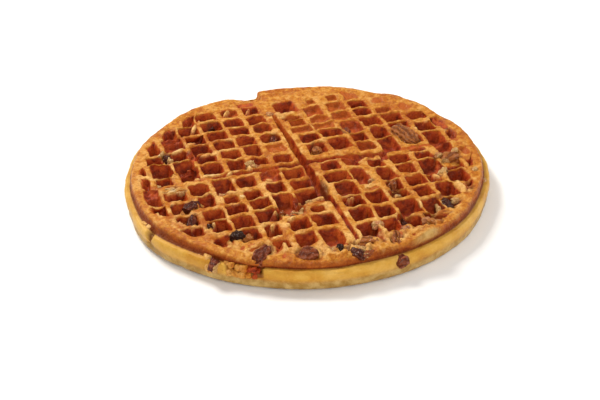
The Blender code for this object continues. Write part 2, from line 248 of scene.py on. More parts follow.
FRONT_LEFT_POCKETS = (
    (0, 0, -14.6, -3.8, -13.0, -3.0, 0.85),
    (1, 0, -26.0, -16.4, -12.4, -0.4, 0.7),
    (2, 0, -38.4, -29.2, -13.6, -3.4, 1.0),
    (3, 0, -50.4, -40.8, -16.4, -1.6, 1.05),
    (4, 0, -62.6, -53.0, -12.6, -2.8, 1.05),
    (5, 0, -75.4, -65.0, -15.2, -6.4, 0.9),
    (6, 0, -85.4, -77.6, -19.4, -6.6, 1.0),
    (0, 1, -13.8, -2.6, -23.4, -14.6, 0.95),
    (1, 1, -26.0, -16.8, -23.2, -13.8, 0.95),
    (2, 1, -37.6, -29.6, -25.0, -17.0, 1.0),
    (3, 1, -48.4, -41.6, -25.2, -18.8, 0.75),
    (4, 1, -60.4, -52.6, -24.6, -14.6, 1.0),
    (5, 1, -74.4, -67.0, -28.0, -18.0, 1.0),
    (6, 1, -81.4, -77.0, -27.4, -18.0, 0.9),
    (0, 2, -14.8, -1.6, -38.0, -25.6, 1.25),
    (1, 2, -25.8, -16.0, -39.0, -25.2, 1.25),
    (2, 2, -37.4, -27.6, -35.0, -25.6, 1.05),
    (3, 2, -49.8, -40.0, -36.0, -27.0, 1.05),
    (4, 2, -61.2, -51.4, -38.6, -28.4, 1.05),
    (5, 2, -73.6, -64.4, -39.4, -30.4, 1.1),
    (0, 3, -11.4, -4.6, -46.8, -41.8, 0.8),
    (1, 3, -25.4, -14.0, -46.6, -40.0, 0.5),
    (2, 3, -37.6, -27.0, -48.2, -36.2, 1.1),
    (3, 3, -49.6, -39.8, -49.8, -38.6, 1.05),
    (4, 3, -60.0, -51.4, -50.0, -38.2, 1.0),
    (5, 3, -71.8, -64.2, -49.6, -42.0, 0.9),
    (0, 4, -13.4, -2.4, -59.6, -49.6, 1.05),
    (1, 4, -25.0, -15.2, -60.2, -50.4, 1.05),
    (2, 4, -36.8, -29.8, -60.8, -50.8, 1.0),
    (3, 4, -48.8, -40.0, -60.8, -51.4, 0.95),
    (4, 4, -61.0, -52.8, -60.6, -54.0, 0.8),
    (0, 5, -14.0, -4.2, -75.8, -62.0, 1.1),
    (1, 5, -25.4, -16.0, -72.2, -62.8, 1.0),
    (2, 5, -36.6, -29.2, -72.0, -65.4, 0.85),
    (3, 5, -47.4, -40.0, -72.0, -66.0, 0.3),
)
FRONT_RIGHT_POCKETS = (
    (0, 0, 5.4, 15.4, -10.8, -1.4, 0.85),
    (1, 0, 18.6, 25.8, -9.8, 0.0, 0.8),
    (2, 0, 29.8, 37.6, -14.8, -6.8, 0.8),
    (3, 0, 41.8, 51.8, -14.8, -6.6, 0.95),
    (4, 0, 55.0, 64.2, -15.2, -8.2, 0.8),
    (5, 0, 68.0, 77.0, -12.4, -2.6, 0.8),
    (6, 0, 79.4, 85.0, -18.0, -10.0, 0.4),
    (0, 1, 4.0, 16.8, -23.2, -13.4, 1.0),
    (1, 1, 18.0, 25.2, -29.8, -13.8, 1.0),
    (2, 1, 30.4, 39.2, -29.2, -16.2, 1.05),
    (3, 1, 41.8, 50.2, -25.6, -16.4, 1.0),
    (4, 1, 53.6, 64.4, -31.2, -16.4, 1.1),
    (5, 1, 65.6, 74.2, -30.2, -15.0, 1.0),
    (6, 1, 77.6, 82.4, -31.6, -23.4, 0.8),
    (0, 2, 5.4, 15.8, -38.6, -24.2, 1.1),
    (1, 2, 18.0, 27.0, -36.0, -33.0, 0.1),
    (2, 2, 31.0, 38.0, -39.6, -30.4, 0.9),
    (3, 2, 42.0, 50.8, -38.2, -28.6, 1.05),
    (4, 2, 52.8, 58.8, -38.6, -30.8, 0.8),
    (5, 2, 62.8, 72.8, -43.0, -30.6, 1.0),
    (0, 3, 5.2, 15.4, -48.4, -39.0, 1.1),
    (1, 3, 17.8, 26.4, -48.6, -37.2, 1.1),
    (2, 3, 29.8, 38.8, -47.6, -40.0, 0.9),
    (3, 3, 41.8, 50.6, -49.8, -39.8, 1.05),
    (4, 3, 52.8, 62.0, -54.0, -40.4, 1.05),
    (5, 3, 65.0, 71.0, -54.4, -45.0, 0.8),
    (0, 4, 5.0, 15.6, -60.2, -50.2, 1.1),
    (1, 4, 17.4, 25.8, -61.2, -51.6, 0.95),
    (2, 4, 28.4, 39.2, -63.0, -49.8, 1.1),
    (3, 4, 40.2, 49.4, -65.2, -52.6, 1.1),
    (4, 4, 50.0, 56.0, -65.0, -55.0, 0.9),
    (0, 5, 3.8, 13.6, -76.2, -63.4, 1.15),
    (1, 5, 15.8, 24.6, -75.4, -63.4, 1.05),
    (2, 5, 28.4, 35.4, -75.8, -66.0, 1.1),
    (3, 5, 37.2, 41.4, -72.4, -65.0, 0.8),
)
QUARTERS = {
    (0, 1): BACK_LEFT_POCKETS,
    (1, 1): BACK_RIGHT_POCKETS,
    (0, 0): FRONT_LEFT_POCKETS,
    (1, 0): FRONT_RIGHT_POCKETS,
}

# How far the corners of the other pockets stray, and how far they are pushed out of the grid's lines
MOUTH_SPREAD = 0.4
MOUTH_PUSH = 0.4

# Ribs that broke or never filled: middle X and Y, size along X and Y, and how far down
BROKEN_RIBS = (
    (-20.6, -39.8, 14.0, 4.6, 4.2),
    (-1.4, -28.5, 4.0, 14.5, 5.6),
    (-15.4, -33.5, 3.0, 5.0, 3.4),
    (-60.5, 12.2, 7.0, 3.6, 3.6),
    (-56.0, 11.0, 3.4, 7.0, 4.6),
    (-53.6, 27.0, 3.6, 12.0, 3.8),
    (-60.0, 47.0, 9.0, 6.0, 2.6),
    (-66.6, 29.0, 3.0, 9.0, 4.0),
    (26.8, -66.5, 3.2, 9.5, 4.6),
    (31.0, -44.0, 3.6, 7.5, 4.8),
    (28.5, -2.4, 14.0, 4.4, 2.0),
    (39.8, -5.0, 3.6, 6.4, 2.8),
    (58.6, -4.8, 8.0, 3.8, 2.6),
    (81.8, 19.0, 3.0, 16.0, 2.0),
    (56.6, -28.0, 3.6, 7.0, 4.0),
    (53.6, -36.0, 2.6, 6.0, 3.4),
    (7.0, 53.2, 9.0, 3.6, 2.2),
    (-33.4, 56.0, 3.0, 8.0, 3.6),
    (-13.0, 76.5, 9.0, 5.5, 1.3),
    (-20.0, -2.6, 9.0, 4.6, 2.4),
    (-81.0, -3.4, 7.0, 7.0, 2.2),
    (70.5, -4.5, 5.5, 7.0, 2.6),
)

# Ridges and lumps of batter: middle X and Y, length and width, turn in degrees, height over the ribs,
# and how pale, partly the batter's own paler colour and partly painted highlight
BATTER = (
    (6.8, 57.4, 15.0, 5.2, 10, 0.6, 0.9),
    (1.2, 58.6, 6.4, 6.4, 0, 0.7, 0.7),
    (16.0, 32.6, 26.0, 2.6, 2, 0.2, 0.2),
    (-44.0, -16.6, 10.0, 3.4, -12, 0.8, 0.85),
    (-49.4, -20.4, 3.2, 7.6, 6, 0.5, 1.0),
    (-44.6, -26.6, 8.6, 3.6, -8, 0.0, 0.55),
    (-39.6, -22.2, 4.4, 5.4, 10, 0.8, 1.3),
    (22.6, -32.2, 11.0, 4.6, 12, 0.3, 1.2),
    (19.0, -33.6, 5.0, 4.0, 0, -0.2, 0.5),
    (57.0, -34.2, 3.6, 9.6, 18, 0.4, 0.8),
    (61.6, -34.0, 3.4, 11.0, -28, 0.5, 0.7),
    (-8.6, -38.0, 11.0, 4.4, 26, 0.7, 0.7),
    (-4.0, -36.6, 4.8, 5.0, 0, 0.9, 0.8),
    (-10.6, -40.6, 7.0, 2.6, 32, 0.4, 0.6),
    (-52.4, 39.2, 12.0, 3.0, 24, 0.5, 0.6),
    (-47.0, 25.6, 11.0, 3.0, 22, 0.6, 0.7),
    (-54.0, 36.0, 3.0, 14.0, -4, 0.2, 0.7),
    (-60.0, 34.2, 12.0, 3.2, 26, 0.6, 1.2),
    (-66.0, 27.6, 2.4, 9.0, -6, 0.8, 1.3),
    (-25.4, 69.6, 10.5, 2.8, 52, 0.6, 1.1),
    (-13.4, 67.6, 11.0, 2.4, 58, 0.3, 0.6),
    (-46.6, 57.6, 12.5, 3.0, 62, 0.6, 1.1),
    (-41.6, 64.0, 3.0, 7.0, 0, 0.2, 0.5),
    (-49.0, 3.2, 15.0, 3.8, -6, 0.6, 1.2),
    (-39.6, 2.4, 8.0, 2.6, 42, 0.6, 1.1),
    (-29.0, 4.6, 2.6, 7.0, 20, 0.9, 1.2),
    (-56.6, 1.6, 5.0, 4.0, 30, 0.4, 0.8),
    (-70.6, -5.8, 10.5, 5.2, 30, 0.9, 1.45),
    (-71.6, -16.6, 10.0, 2.4, 28, 0.4, 0.7),
    (-67.4, 8.0, 3.0, 10.0, -18, 0.4, 0.65),
    (-78.4, 9.0, 2.6, 9.0, -8, 0.6, 0.95),
    (-87.6, 0.0, 2.4, 44.0, 0, 0.5, 0.9),
    (-22.6, -8.6, 6.6, 5.0, -20, -0.8, 0.75),
    (-51.6, -14.0, 3.4, 6.6, 10, 0.3, 0.75),
    (-10.8, 20.0, 7.0, 3.4, -8, -0.6, 0.4),
    (20.4, 71.8, 5.0, 3.0, 10, 0.2, 0.5),
    (9.6, -41.0, 8.0, 1.8, 26, 0.5, 0.75),
    (64.4, -46.0, 4.0, 14.0, 12, 0.8, 1.1),
    (68.4, -47.6, 2.4, 12.0, 28, 0.3, 0.55),
    (60.6, -7.4, 7.6, 2.0, 18, 0.4, 0.8),
    (29.0, -7.4, 3.0, 7.0, 8, 0.3, 0.4),
    (10.6, -12.0, 9.0, 2.2, -6, 0.2, 0.6),
    (-58.6, -42.0, 2.4, 8.0, -18, 0.7, 1.2),
    (-64.0, -52.4, 16.0, 5.0, -4, 0.3, 0.5),
    (-60.0, -64.0, 8.0, 4.0, -20, 0.4, 1.0),
    (-35.4, -49.6, 8.0, 3.0, 0, 0.5, 0.8),
    (-23.0, -49.0, 9.0, 3.0, 8, 0.5, 1.1),
    (-25.8, -54.0, 3.4, 8.0, 8, 0.5, 1.1),
    (-33.6, -62.8, 9.0, 3.4, 10, 0.6, 1.1),
    (-38.4, -66.0, 2.8, 9.0, -14, 0.4, 0.8),
    (-26.6, -72.0, 3.0, 8.0, -12, 0.2, 0.4),
    (-15.0, -78.0, 3.6, 10.0, 6, 0.4, 0.7),
    (14.4, -68.4, 3.4, 5.0, 0, 0.6, 0.9),
    (12.6, -74.6, 4.0, 7.6, -16, 0.2, 0.5),
    (31.8, -64.6, 6.6, 2.2, -6, 0.4, 0.6),
    (-72.6, -38.0, 4.0, 10.0, 24, 0.4, 0.6),
    (-80.6, -31.6, 7.0, 6.0, 30, 0.4, 0.7),
    (-84.0, -24.0, 3.4, 8.0, 16, 0.4, 0.6),
    (33.0, -84.4, 17.0, 9.0, 12, 3.3, 1.3),
    (35.0, -79.4, 10.0, 3.6, 4, 2.4, 0.7),
    (55.4, -70.6, 20.0, 3.2, 34, 0.7, 1.2),
    (47.6, -77.4, 10.0, 2.4, 58, 0.2, 0.5),
    (64.0, -62.0, 12.0, 2.6, 46, 0.3, 0.5),
    (9.8, -86.6, 9.0, 8.0, 4, 1.5, 0.35),
    (-10.0, -86.0, 9.0, 5.0, 10, 0.9, 0.5),
    (27.6, -82.0, 3.4, 8.6, -10, 1.2, 0.95),
    (-14.4, -80.4, 3.2, 9.0, 8, 0.8, 0.9),
    (14.6, -73.8, 4.4, 5.0, 0, 1.0, 0.85),
    (-32.0, -72.6, 3.0, 9.0, 10, 0.8, 0.85),
    (-35.6, -78.6, 11.0, 10.0, 0, -0.3, 0.3),
    (-53.0, -68.0, 8.0, 8.0, 0, -0.2, 0.3),
    (20.0, -88.4, 6.0, 5.0, 0, -0.6, 0.2),
    (75.6, -27.6, 2.4, 9.0, -6, 0.5, 0.9),
    (83.4, -26.0, 3.0, 9.0, -16, 0.2, 0.4),
    (33.4, -42.6, 6.0, 3.4, -28, -0.4, 1.4),
    (80.6, 10.0, 9.0, 2.2, 50, 0.3, 0.7),
    (75.6, 24.6, 8.0, 2.4, 24, 0.4, 0.8),
    (66.4, 18.0, 3.0, 6.4, 4, 0.6, 0.9),
    (-28, -41, 8, 2.6, 20, 0.5, 1.0),
    (-33, -52, 5, 3, 30, 0.4, 1.0),
    (-30, -85, 7, 2.4, 85, 0.4, 0.9),
    (-55, -63, 8, 3, -25, 0.5, 1.0),
    (40, -56, 8, 2.4, 85, 0.5, 1.1),
    (58, -66, 6, 3, 40, 0.5, 1.0),
    (-68, -41, 7, 2.6, 60, 0.5, 1.0),
    (-80, -28, 18, 3.2, 112, 0.3, 0.9),
    (22, -86, 6, 4, 40, 0.8, 1.0),
)

# Crevices with painted shade: middle X and Y, length and width, turn in degrees, how much painted shade
# darkens them, and how far down
SHADED_CREVICES = (
    (1, -26, 14, 3.5, 85, 1.0, 1.2),
    (34, -41, 7, 3, -30, 1.0, 1.4),
    (29, -63, 10, 4, 90, 0.6, 0.3),
    (-6, -81, 5, 3, 60, 0.9, 0.8),
    (-2, -80, 8, 3.5, 110, 1.0, 1.5),
    (59, -58, 5, 3, 60, 0.6, 0.5),
    (69, -47, 9, 3, 85, 0.7, 1.0),
    (-26, -41, 6, 3, 60, 1.0, 1.2),
    (-59, -40, 3, 2.5, 0, 0.8, 0.6),
    (0, -88, 5, 2.5, 20, 0.9, 0.6),
    (16, -80, 5, 2, 80, 0.8, 0.8),
    (41, -68, 5, 2.2, 75, 1.0, 1.0),
    (-14, -35, 9, 6, 40, 0.5, 0.2),
)

# The stretch of the edge that stands lower: angle in degrees of its sharp side and of where it has
# risen again, from which radius, and how far down
LOW_EDGE_SHARP = 91.6
LOW_EDGE_RISEN = 104.5
LOW_EDGE_FROM = 80.5
LOW_EDGE_DOWN = 4.5

# Broken stretches of the flange: angle and width in degrees, and how far down
BROKEN_FLANGES = (
    (-125.0, 11.0, 2.6),
    (-159.0, 3.0, 2.4),
)

# Distances of the mesh's grid lines into a pocket from its near edge, across the rib after it, and from
# the middle of the groove to the first pocket
TOP_POCKET_LINES = (0.0, 0.35, 0.7, 1.1, 1.6, 2.4, 3.5, 4.5, 5.5, 6.6, 7.4, 7.9, 8.3, 8.65)
TOP_RIB_LINES = (9.0, 9.5, 10.1, 10.8, 11.4)
TOP_GROOVE_LINES = (0.0, 0.45, 0.9, 1.35, 1.8, 2.25, 2.7, 3.2, 3.8, 4.6)
UNDER_POCKET_LINES = (0.0, 0.6, 1.3, 3.2, 5.8, 7.7, 8.4)
UNDER_RIB_LINES = (9.0, 10.5)
UNDER_GROOVE_LINES = (0.0, 0.8, 1.7, 2.8, 4.2)
MARGIN_STEP = 1.0
MESH_RADIUS = 86.0
SEAM_RADIUS = 86.8
TURN_STEPS = 560
RIM_STEP = 0.85


# Radius and height from the top's outer grid, over the ring and the flange, to the underside
RIM_PROFILE = (
    (SEAM_RADIUS, THICKNESS),
    (RING_RADIUS - 1.7, THICKNESS + 0.05),
    (RING_RADIUS - 0.8, THICKNESS - 0.25),
    (RING_RADIUS - 0.3, THICKNESS - 1.0),
    (RING_RADIUS - 0.1, THICKNESS - 2.2),
    (RING_RADIUS + 0.1, FLANGE_TOP + 0.7),
    (RING_RADIUS + 0.45, FLANGE_TOP - 0.25),
    (RING_RADIUS + 1.1, FLANGE_TOP - 0.2),
    (FLANGE_RADIUS - 1.0, FLANGE_TOP + 0.1),
    (FLANGE_RADIUS - 0.3, FLANGE_TOP - 0.5),
    (FLANGE_RADIUS + 0.1, FLANGE_TOP - 1.8),
    (FLANGE_RADIUS + 0.1, FLANGE_TOP - 3.6),
    (FLANGE_RADIUS - 0.35, FLANGE_TOP - 5.2),
    (FLANGE_RADIUS - 0.45, 4.4),
    (FLANGE_RADIUS - 0.5, 2.6),
    (FLANGE_RADIUS - 1.2, 0.9),
    (UNDERSIDE_RADIUS, 0.12),
    (UNDERSIDE_RADIUS - 1.2, 0.0),
    (SEAM_RADIUS, 0.0),
)


def grid_lines(pocket_lines, rib_lines, groove_lines, pockets, margin_step):
    """Places of the mesh's grid lines along one axis, the same on both sides of the middle."""
    out = list(groove_lines)
    for k in range(pockets):
        out += [FIRST_POCKET + k * PITCH + d for d in (*pocket_lines, *rib_lines)]
    place = FIRST_POCKET + (pockets - 1) * PITCH + POCKET_WIDTH
    out = [d for d in out if d <= place]
    while place < MESH_RADIUS:
        place += margin_step
        out.append(place)
    out = np.array(out)
    return np.concatenate([-out[:0:-1], out])


def pocket_frame(x, y):
    """The column and row of each point's cell, where it is from the middle of that cell's pocket, and
    whether the pocket exists."""
    ax, ay = np.abs(x), np.abs(y)
    half_rib = (PITCH - POCKET_WIDTH) / 2
    column = np.clip(np.floor((ax - FIRST_POCKET + half_rib) / PITCH), 0, COLUMNS - 1).astype(int)
    row = np.clip(np.floor((ay - FIRST_POCKET + half_rib) / PITCH), 0, ROWS - 1).astype(int)
    middle_x = FIRST_POCKET + column * PITCH + POCKET_WIDTH / 2
    middle_y = FIRST_POCKET + row * PITCH + POCKET_WIDTH / 2
    return column, row, ax - middle_x, ay - middle_y, np.hypot(middle_x, middle_y) < OPEN_RADIUS


def by_pocket(table, x, y, column, row):
    """A value from a table with one entry for each pocket."""
    return table[(x > 0).astype(int), (y > 0).astype(int), column, row]


def random_table(seed, *more):
    """One random number from -1 to 1 for each pocket."""
    return np.random.default_rng(seed).uniform(-1, 1, (2, 2, COLUMNS, ROWS, *more))


def rounded_inset(dx, dy, half_x, half_y, corner):
    """How far inside a rounded rectangle a point is: positive inside, negative outside."""
    qx, qy = np.abs(dx) - (half_x - corner), np.abs(dy) - (half_y - corner)
    outside = np.hypot(np.maximum(qx, 0), np.maximum(qy, 0))
    return corner - outside - np.minimum(np.maximum(qx, qy), 0)


def turned(x, y, middle_x, middle_y, turn_deg):
    """Coordinates along and across a feature that is turned by an angle."""
    cosine, sine = math.cos(math.radians(turn_deg)), math.sin(math.radians(turn_deg))
    dx, dy = x - middle_x, y - middle_y
    return cosine * dx + sine * dy, cosine * dy - sine * dx


def oval_reach(x, y, middle_x, middle_y, long, wide, turn_deg):
    """How far out of a turned oval's middle a point is, where 1 is on the oval."""
    along, across = turned(x, y, middle_x, middle_y, turn_deg)
    return np.hypot(along / (long / 2), across / (wide / 2))


def lattice_lines(count):
    """The pockets' edges along one axis of the regular grid, on both sides of the middle."""
    edges = [FIRST_POCKET + k * PITCH + d for k in range(count) for d in (0, POCKET_WIDTH)]
    return np.array([-e for e in reversed(edges)] + edges)


def pocket_shifts(irregular, seed):
    """How far each corner of each pocket lies from the regular grid, and each pocket's share of depth."""
    shift = np.zeros((2, 2 * 2 * COLUMNS, 2 * 2 * ROWS))
    loose = random_table(seed, 2, 2, 2) * MOUTH_SPREAD
    share = 1 + 0.06 * random_table(seed + 1)
    boxes = {}
    if irregular:
        for (side_x, side_y), table in QUARTERS.items():
            for column, row, x0, x1, y0, y1, depth in table:
                boxes[side_x, side_y, column, row] = (x0, x1, y0, y1)
                share[side_x, side_y, column, row] = depth
    lines_x, lines_y = lattice_lines(COLUMNS), lattice_lines(ROWS)
    for i in range(len(lines_x)):
        for j in range(len(lines_y)):
            side_x, side_y = int(i >= 2 * COLUMNS), int(j >= 2 * ROWS)
            out_x = i - 2 * COLUMNS if side_x else 2 * COLUMNS - 1 - i
            out_y = j - 2 * ROWS if side_y else 2 * ROWS - 1 - j
            column, row = out_x // 2, out_y // 2
            high_x, high_y = (out_x % 2) == side_x, (out_y % 2) == side_y
            at = boxes.get((side_x, side_y, column, row))
            push_x, push_y = (MOUTH_PUSH if high else -MOUTH_PUSH for high in (high_x, high_y))
            target_x = at[1 if high_x else 0] if at else lines_x[i] + push_x
            target_y = at[3 if high_y else 2] if at else lines_y[j] + push_y
            play = loose[side_x, side_y, column, row, out_x % 2, out_y % 2] * (1.0 if at is None else 0.7)
            shift[0, i, j] = target_x - lines_x[i] + play[0]
            shift[1, i, j] = target_y - lines_y[j] + play[1]
    return shift, share


def warped(x, y, shift):
    """Where points of the regular grid lie on the real, uneven waffle."""
    lines_x, lines_y = lattice_lines(COLUMNS), lattice_lines(ROWS)
    i = np.clip(np.searchsorted(lines_x, x) - 1, 0, len(lines_x) - 2)
    j = np.clip(np.searchsorted(lines_y, y) - 1, 0, len(lines_y) - 2)
    u = np.clip((x - lines_x[i]) / (lines_x[i + 1] - lines_x[i]), 0, 1)
    v = np.clip((y - lines_y[j]) / (lines_y[j + 1] - lines_y[j]), 0, 1)
    low = shift[:, i, j] * (1 - u) + shift[:, i + 1, j] * u
    high = shift[:, i, j + 1] * (1 - u) + shift[:, i + 1, j + 1] * u
    moved = low * (1 - v) + high * v
    hold = smooth(MESH_RADIUS - np.hypot(x, y), 0.0, 3.0)
    sway_x = 0.4 * lump_noise(x, y, 30.0) + 0.35 * mid_noise(x, y, 31.0)
    sway_y = 0.4 * lump_noise(x, y, 70.0) + 0.35 * mid_noise(x, y, 71.0)
    return x + hold * (moved[0] + sway_x), y + hold * (moved[1] + sway_y)


def on_low_edge(angle, ragged=0.0):
    """1 on the stretch of the edge that stands lower, 0 off it."""
    sharp_side = smooth(angle + 0.5 * ragged, LOW_EDGE_SHARP - 0.5, LOW_EDGE_SHARP + 0.6)
    return sharp_side * (1 - smooth(angle, LOW_EDGE_SHARP, LOW_EDGE_RISEN))


def deep_groove(x, y):
    """Depth of the groove along Y: deep past the middle, narrow at the back, slight at the front."""
    front = smooth(-y, 36.0, 44.0)
    back = smooth(y, 14.0, 48.0)
    middle = -0.9 + 2.2 * front + 0.3 * mid_noise(x * 0, y, 5.0)
    wide = 2.4 - 0.8 * front - 0.7 * back
    depth = 6.2 - 3.4 * front - 2.0 * back
    slant = np.where(x > middle, 2.1, 1.3)
    closed = smooth(86.5 + y, 0.0, 6.0) * (1 - smooth(y, 54.0, 60.0))
    return depth * (1 - smooth(np.abs(x - middle), wide - slant, wide)) * closed


def shallow_groove(x, y):
    """Depth of the groove along X."""
    middle = 1.6 + 0.4 * mid_noise(x, y * 0, 9.0) - 3.0 * smooth(x, 22.0, 32.0)
    depth = np.where(x > 0, 2.6, 2.2) + 0.8 * mid_noise(x, 0.0, 50.0)
    depth = depth * (1 - 0.75 * smooth(np.abs(x), 40.0, 50.0))
    return depth * (1 - smooth(np.abs(y - middle), 0.5, 2.1)) * smooth(86.0 - np.abs(x), 0.0, 6.0)


def top_depth(x, y, wx, wy, radius, angle, share, ragged):
    """How far the pockets, the grooves and the gaps in broken ribs go down."""
    column, row, dx, dy, is_open = pocket_frame(x, y)
    corner = 1.3 + 0.5 * by_pocket(random_table(22), x, y, column, row)
    inset = rounded_inset(dx, dy, POCKET_WIDTH / 2, POCKET_WIDTH / 2, corner)
    limit = GRID_RADIUS - 0.4 + 1.2 * np.maximum(edge_run(angle), 0) + 1.2 * lump_noise(wx, wy, 9.0)
    to_ring = (limit - radius) * 0.7
    inset = inset + 0.3 * lump_noise(wx, wy, 44.0) + 0.2 * crumb_noise(wx, wy, 44.0)
    inset = np.where(is_open, np.minimum(inset, to_ring), -9.0)
    bottom = POCKET_DEPTH * by_pocket(share, x, y, column, row)
    tilt = by_pocket(random_table(24), x, y, column, row) * dx
    tilt = tilt + by_pocket(random_table(25), x, y, column, row) * dy
    depth = smooth(inset, -0.55, 1.7) * (bottom + 0.06 * tilt)
    depth = np.maximum(depth, deep_groove(wx, wy))
    depth = np.maximum(depth, shallow_groove(wx, wy))
    for mx, my, wide, long, down in BROKEN_RIBS:
        gap = rounded_inset(wx - mx, wy - my, wide / 2, long / 2, 1.2) + 0.5 * ragged
        depth = np.maximum(depth, smooth(gap, -0.6, 0.9) * (down + 0.9 * ragged))
    return depth


def batter_over(height, wx, wy):
    """The top's height with the ridges and lumps of batter on it, and how pale they make it: partly the
    batter's own paler colour and partly painted highlight on their tops.
    """
    pale_and_highlight = np.zeros_like(height)
    crust = 0.5 * lump_noise(wx, wy, 1.0) + 0.35 * crumb_noise(wx, wy, 1.0)
    for mx, my, long, wide, turn, over, pale in BATTER:
        along, across = turned(wx, wy, mx, my, turn)
        across = across + 0.7 * mid_noise(wx, wy, mx) + 0.4 * lump_noise(wx, wy, mx)
        reach = np.hypot(along / (long / 2), across / (wide / 2)) + 0.12 * lump_noise(wx, wy, my)
        dome = THICKNESS + over + crust - 11.0 * np.maximum(reach - 0.5, 0) ** 1.4
        over_it = smooth(dome - height, -0.4, 0.6)
        height = height * (1 - over_it) + dome * over_it
        # Paleness is kept to the lump's middle, as painted highlight on its top as well as paler batter
        pale_and_highlight = np.maximum(pale_and_highlight, over_it * pale * (1 - smooth(reach, 0.35, 0.95)))
    return height, pale_and_highlight


def nut_beds(height, depth, wx, wy):
    """The top's height and depth with a bed of batter round each pecan piece."""
    lumps = 0.5 * lump_noise(wx, wy, 2.0)
    for _, mx, my, mz, long, wide, _, turn, *_, collar in PECANS:
        off = oval_reach(wx, wy, mx, my, long, wide, turn) - 1
        bed = mz + collar + lumps - 0.9 * wide * np.maximum(off - 0.1, 0) ** 1.3
        over_it = smooth(bed - height, -0.4, 0.6)
        height = height * (1 - over_it) + bed * over_it
        depth = depth * (1 - over_it * smooth(-off, -0.9, -0.2))
    return height, depth


def shaded_gaps(height, wx, wy):
    """The top's height with the gaps round the nuts and the crevices in it, and how much painted shade
    darkens them.
    """
    gap = np.zeros_like(height)
    ragged = smooth(lump_noise(wx, wy, 33.0), -0.35, 0.3)
    for mx, my, long, wide, turn in NUT_OUTLINES:
        off = (oval_reach(wx, wy, mx, my, long, wide, turn) - 1) * wide / 2
        # Painted shade: a dark band round each nut's outline, where it sits in the crust
        gap = np.maximum(gap, np.exp(-(((off - 0.25) / 0.55) ** 2)) * ragged)
    crumbs = 0.15 * crumb_noise(wx, wy, 12.0)
    # Painted shade in each crevice, which is also sunk
    for mx, my, long, wide, turn, dark, down in SHADED_CREVICES:
        reach = oval_reach(wx, wy, mx, my, long, wide, turn) + crumbs
        near = 1 - smooth(reach, 0.7, 1.25)
        gap = np.maximum(gap, dark * near)
        height = height - down * near
    return height - 0.7 * gap, gap


def front_rubble(radius, angle, wx, wy):
    """How far the crumbly margin at the front stands up and down."""
    front = smooth(radius, 73.0, 79.0) * (1 - smooth(radius, 86.0, 88.0))
    front = front * bell(angle, -90.0, 40.0, 4)
    return front * (2.1 * lump_noise(wx, wy, 77.0) + 0.9 * crumb_noise(wx, wy, 77.0))


def top_surface(x, y, wx, wy, share):
    """Height of the top face and the masks that colour it, from each point's place on the regular grid
    and on the real waffle."""
    radius = np.hypot(wx, wy)
    angle = np.degrees(np.arctan2(wy, wx))
    ragged = 0.7 * crumb_noise(wx, wy, 3.0) + 0.5 * lump_noise(wx, wy, 3.0)
    depth = top_depth(x, y, wx, wy, radius, angle, share, ragged)
    crest = 0.4 * wide_noise(wx, wy, 0.0) + 0.65 * mid_noise(wx, wy, 0.0) + 0.8 * lump_noise(wx, wy, 20.0)
    crest = crest + ring_stray(angle)[1] * smooth(radius, 74.0, 88.0)
    height = THICKNESS + crest * (1 - 0.7 * smooth(radius, 82.0, 88.0)) - depth
    height, pale_and_highlight = batter_over(height, wx, wy)
    height, depth = nut_beds(height, depth, wx, wy)
    height, gap = shaded_gaps(height, wx, wy)
    rubble = front_rubble(radius, angle, wx, wy)
    height = height + rubble
    # Painted highlight: the tops of the ribs are paled, more towards the front left, and merged into the
    # mask of paler batter
    place = 0.2 - 0.0024 * (wx + 1.3 * wy) + 0.7 * mid_noise(wx, wy, 60.0) + 0.4 * lump_noise(wx, wy, 60.0)
    crest_highlight = (1 - smooth(depth, 0.2, 1.2)) * smooth(place, 0.05, 0.75)
    pale_and_highlight = np.maximum(pale_and_highlight, 0.75 * crest_highlight)
    # Painted shade: the low spots of the crumbly front margin take the dark pocket colour
    depth = depth + 2.0 * smooth(-rubble, 0.3, 1.1)
    low = on_low_edge(angle, ragged) * LOW_EDGE_DOWN
    low = low * smooth(radius, LOW_EDGE_FROM - 0.6, LOW_EDGE_FROM + 1.6)
    return height - low, depth, pale_and_highlight, gap


def rough_top(x, y, z, depth):
    """Small lumps and pits of the crust, less on the smooth pocket walls and floors."""
    coarse = smooth(np.hypot(x, y), 70.0, 84.0)
    on_rib = 1 - smooth(depth, 0.5, 2.2)
    lift = 0.26 * lump_noise(x, y, z) + 0.24 * crumb_noise(x, y, z) + 0.1 * grain_noise(x, y, z)
    return lift * (0.3 + 0.8 * on_rib) + coarse * on_rib * 0.3 * crumb_noise(x, y, z + 40.0)


def resampled(corners, step):
    """Points a step apart along a smooth curve through the corners, with both ends kept."""
    run = np.concatenate([[0], np.cumsum(np.hypot(*np.diff(corners, axis=0).T))])
    count = int(round(run[-1] / step)) + 1
    places = np.linspace(0, run[-1], count)
    out = np.empty((count, 2))
    for axis in (0, 1):
        slope = np.gradient(corners[:, axis], run)
        k = np.clip(np.searchsorted(run, places) - 1, 0, len(run) - 2)
        span = run[k + 1] - run[k]
        t = (places - run[k]) / span
        a, b = corners[k, axis], corners[k + 1, axis]
        ma, mb = slope[k] * span, slope[k + 1] * span
        rise = (2 * t**3 - 3 * t**2 + 1) * a + (3 * t**2 - 2 * t**3) * b
        out[:, axis] = rise + (t**3 - 2 * t**2 + t) * ma + (t**3 - t**2) * mb
    return out


